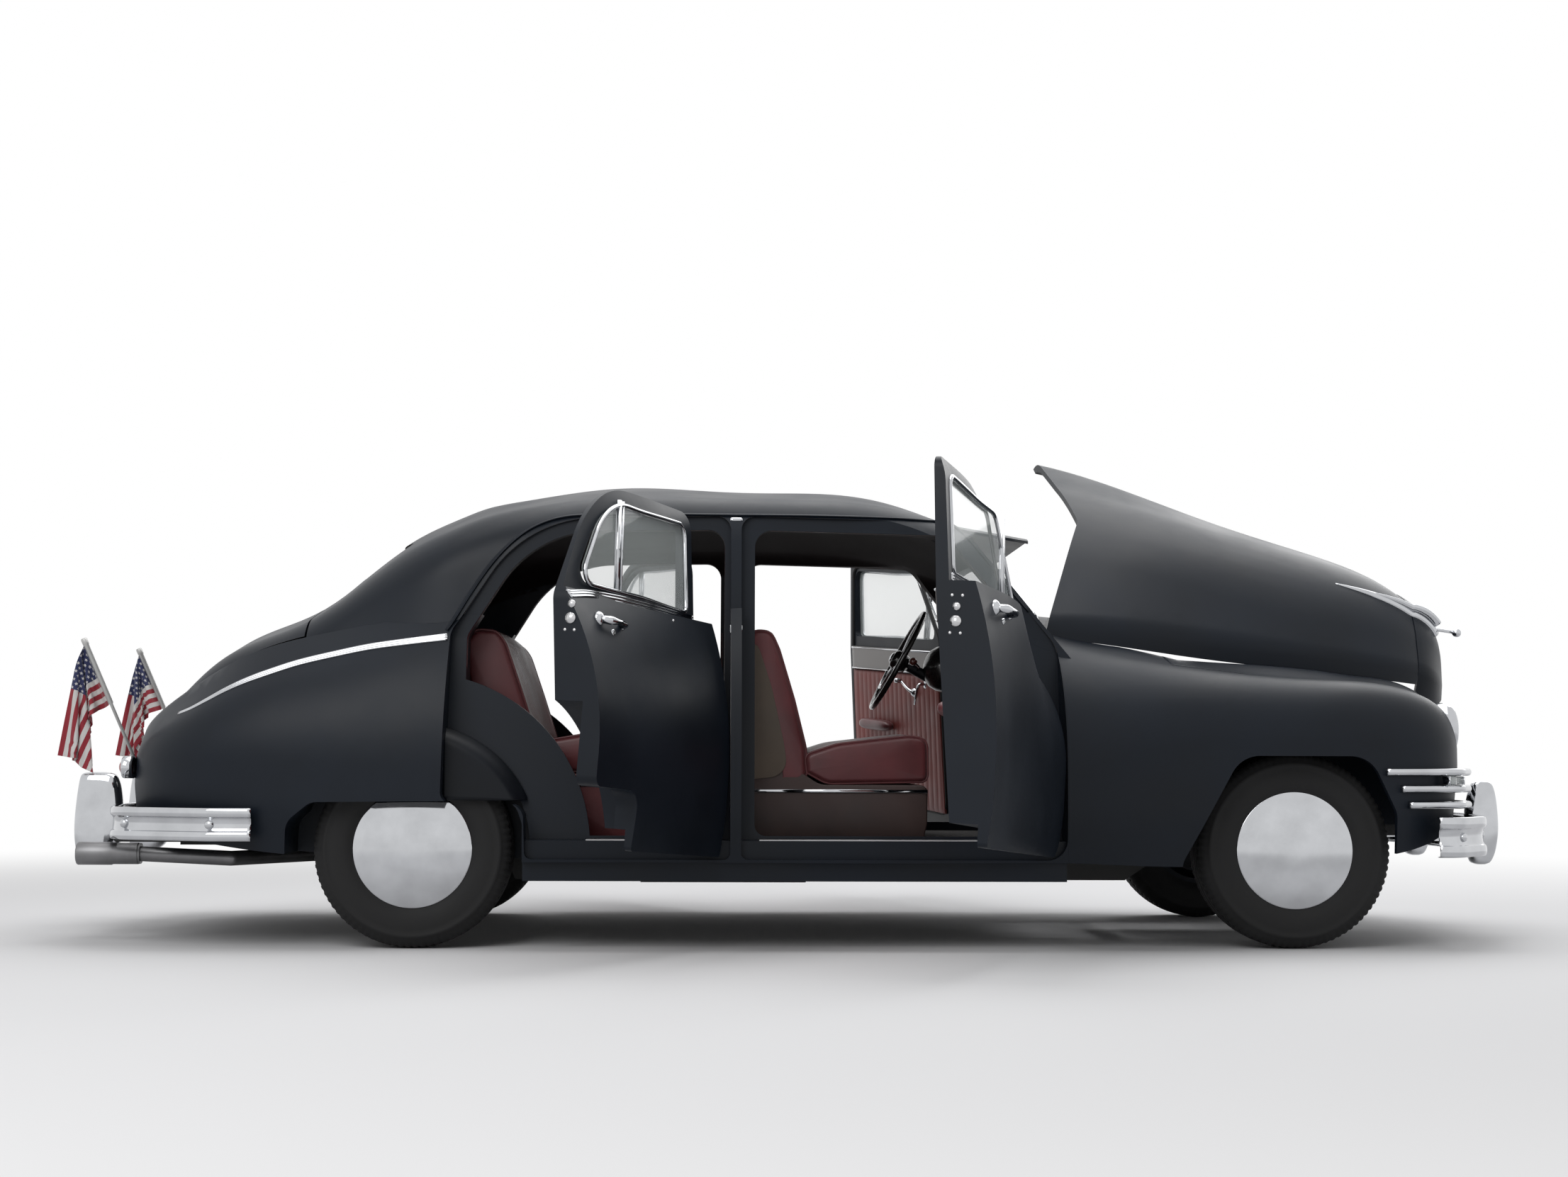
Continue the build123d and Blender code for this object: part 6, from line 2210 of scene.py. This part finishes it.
class Studio:
    """Floor, backdrop, soft lights and the camera."""

    camera_place = (-0.546092 + SHIFT, -8.614773, 0.669910)
    yaw = math.radians(2.13484)
    pitch = math.radians(4.20026)
    roll = math.radians(0.236296)
    focal_px = 3167.139
    frame_px = 2212
    sensor = 36.0
    floor_half = 40.0
    fade_start, fade_end = 3.2, 8.5
    world_strength = 0.42
    aim_place = (0.2, 0, 0.6)
    lamps = (
        ("key", (-3.5, -6.5, 5.5), 5.0, 250.0),
        ("top", (0.5, 0.8, 6.0), 6.0, 270.0),
        ("far", (4.5, 5.5, 4.5), 5.0, 130.0),
    )

    def build(self) -> None:
        """Makes the camera, the floor and the lights."""
        self.camera()
        self.floor()
        self.lights()

    def camera(self) -> None:
        """The camera at the photograph's place and angle."""
        data = bpy.data.cameras.new("camera")
        data.sensor_width = self.sensor
        data.lens = self.focal_px / self.frame_px * self.sensor
        data.clip_end = 200
        camera = bpy.data.objects.new("camera", data)
        bpy.context.scene.collection.objects.link(camera)
        forward0 = Vector((math.sin(self.yaw), math.cos(self.yaw), 0))
        right0 = Vector((math.cos(self.yaw), -math.sin(self.yaw), 0))
        rise = Vector((0, 0, 1))
        forward = forward0 * math.cos(self.pitch) + rise * math.sin(self.pitch)
        up0 = -forward0 * math.sin(self.pitch) + rise * math.cos(self.pitch)
        right = right0 * math.cos(self.roll) + up0 * math.sin(self.roll)
        up = -right0 * math.sin(self.roll) + up0 * math.cos(self.roll)
        turn = Matrix((right, up, -forward)).transposed()
        camera.matrix_world = Matrix.Translation(Vector(self.camera_place)) @ turn.to_4x4()
        bpy.context.scene.camera = camera

    def floor(self) -> None:
        """A wide pale floor that shows near white to the camera and in glossy surfaces."""
        half = self.floor_half
        corners = np.array([(-half, -half, 0), (half, -half, 0), (half, half, 0), (-half, half, 0)])
        floor = mesh_piece("floor_plane", corners, [(0, 1, 2, 3)], smooth=False)
        material, nodes, links, shader = new_material("studio_floor")
        set_inputs(shader, Base_Color=(0.70, 0.70, 0.71, 1), Roughness=0.9, Specular_IOR_Level=0.1)
        away = nodes.new("ShaderNodeVectorMath")
        away.operation = "LENGTH"
        links.new(nodes.new("ShaderNodeTexCoord").outputs["Object"], away.inputs[0])
        fade = add_node(nodes, "MapRange", From_Min=self.fade_start, From_Max=self.fade_end)
        fade.interpolation_type = "SMOOTHSTEP"
        links.new(away.outputs["Value"], fade.inputs["Value"])
        factor = NodeMath(nodes, links).of("MULTIPLY", fade.outputs["Result"], background_rays(nodes, links))
        white = add_node(nodes, "Emission", Color=(1, 1, 1, 1))
        mix = nodes.new("ShaderNodeMixShader")
        links.new(factor, mix.inputs[0])
        links.new(shader.outputs[0], mix.inputs[1])
        links.new(white.outputs[0], mix.inputs[2])
        links.new(mix.outputs[0], nodes["Material Output"].inputs["Surface"])
        floor.data.materials.append(material)

    def lights(self) -> None:
        """A pale world and three large soft lamps."""
        world = bpy.data.worlds.new("studio")
        bpy.context.scene.world = world
        world.use_nodes = True
        nodes, links = world.node_tree.nodes, world.node_tree.links
        shade = nodes["Background"]
        set_inputs(shade, Color=(1, 1, 1, 1), Strength=self.world_strength)
        seen = add_node(nodes, "Background", Color=(1, 1, 1, 1), Strength=1.0)
        mix = nodes.new("ShaderNodeMixShader")
        links.new(background_rays(nodes, links), mix.inputs[0])
        links.new(shade.outputs[0], mix.inputs[1])
        links.new(seen.outputs[0], mix.inputs[2])
        links.new(mix.outputs[0], nodes["World Output"].inputs["Surface"])
        for name, place, size, power in self.lamps:
            data = bpy.data.lights.new(name, "AREA")
            data.shape = "SQUARE"
            data.size = size
            data.energy = power
            lamp = bpy.data.objects.new(name, data)
            lamp.location = place
            aim = Vector(self.aim_place) - Vector(place)
            lamp.rotation_euler = aim.to_track_quat("-Z", "Y").to_euler()
            bpy.context.scene.collection.objects.link(lamp)


# The painted panels that get a smooth skin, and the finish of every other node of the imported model.
PANELS = ("body_side_right", "body_side_left", "cowl", "roof", "fender_front_right", "fender_front_left",
          "hood", "trunk_lid", "tail_panel", "nose_panel", "door_front_right", "door_front_left",
          "door_rear_right", "door_rear_left", "visor", "dashboard")
INNER_FINISHES = {
    "windshield": GLASS, "rear_window": GLASS, "headlamps": CHROME, "grille_bars": CHROME,
    "front_bumper": CHROME, "rear_bumper": CHROME, "floor": CARPET, "frame": FRAME_PAINT,
    "engine": CAST_IRON, "radiator": FRAME_PAINT, "front_suspension": FRAME_PAINT, "rear_axle": CAST_IRON,
    "knuckle_right": CAST_IRON, "knuckle_left": CAST_IRON, "exhaust": DARK_STEEL, "front_seat": MAROON,
    "rear_seat": MAROON, "steering_column": JAMB_PAINT, "steering_wheel": WHEEL_RESIN, "tail_lamps": RED_LENS,
    "plate_holder": JAMB_PAINT, "flag_poles": DARK_STEEL, "flag_right": HEADLINER, "flag_left": HEADLINER,
}
CORNER_FINISHES = {"glass": GLASS, "wheel": PAINT, "tyre": RUBBER}


def main() -> None:
    """Builds every piece in order and reports each one."""
    logging.basicConfig(level=logging.INFO, format="%(name)s %(message)s")
    bpy.context.scene.view_settings.view_transform = "Standard"
    model = FrameModel()
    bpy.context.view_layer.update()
    Studio().build()
    skins = SmoothSkins(model)
    for node in PANELS:
        skins.skin(node, PAINT, sharp=60.0 if node == "hood" else 32.0, lining=HEADLINER if node == "roof"
                   else None)
        LOG.info("skin %s", node)
    finishes = dict(INNER_FINISHES)
    for place in Place:
        for side in Side:
            finishes.update({f"{kind}_{place.value}_{side.label}": f for kind, f in CORNER_FINISHES.items()})
    Wheels().build()
    Bumpers(model).build()
    FrontBars(model).build()
    Headlamps().build()
    trim = BrightTrim(model)
    trim.build()
    HoodOrnament(model).build()
    Handles(model).build()
    Seats(model).build()
    DoorCards(model).build()
    Cabin(model).build()
    RearEnd().build()
    Flags().build()
    BodyDetails(model, trim).build()
    EngineBay().build()
    HoodLedge(model).build()
    WheelHousing().build()
    for node, finish in finishes.items():
        painted(model.nodes[node], finish)


if __name__ == "__main__":
    main()
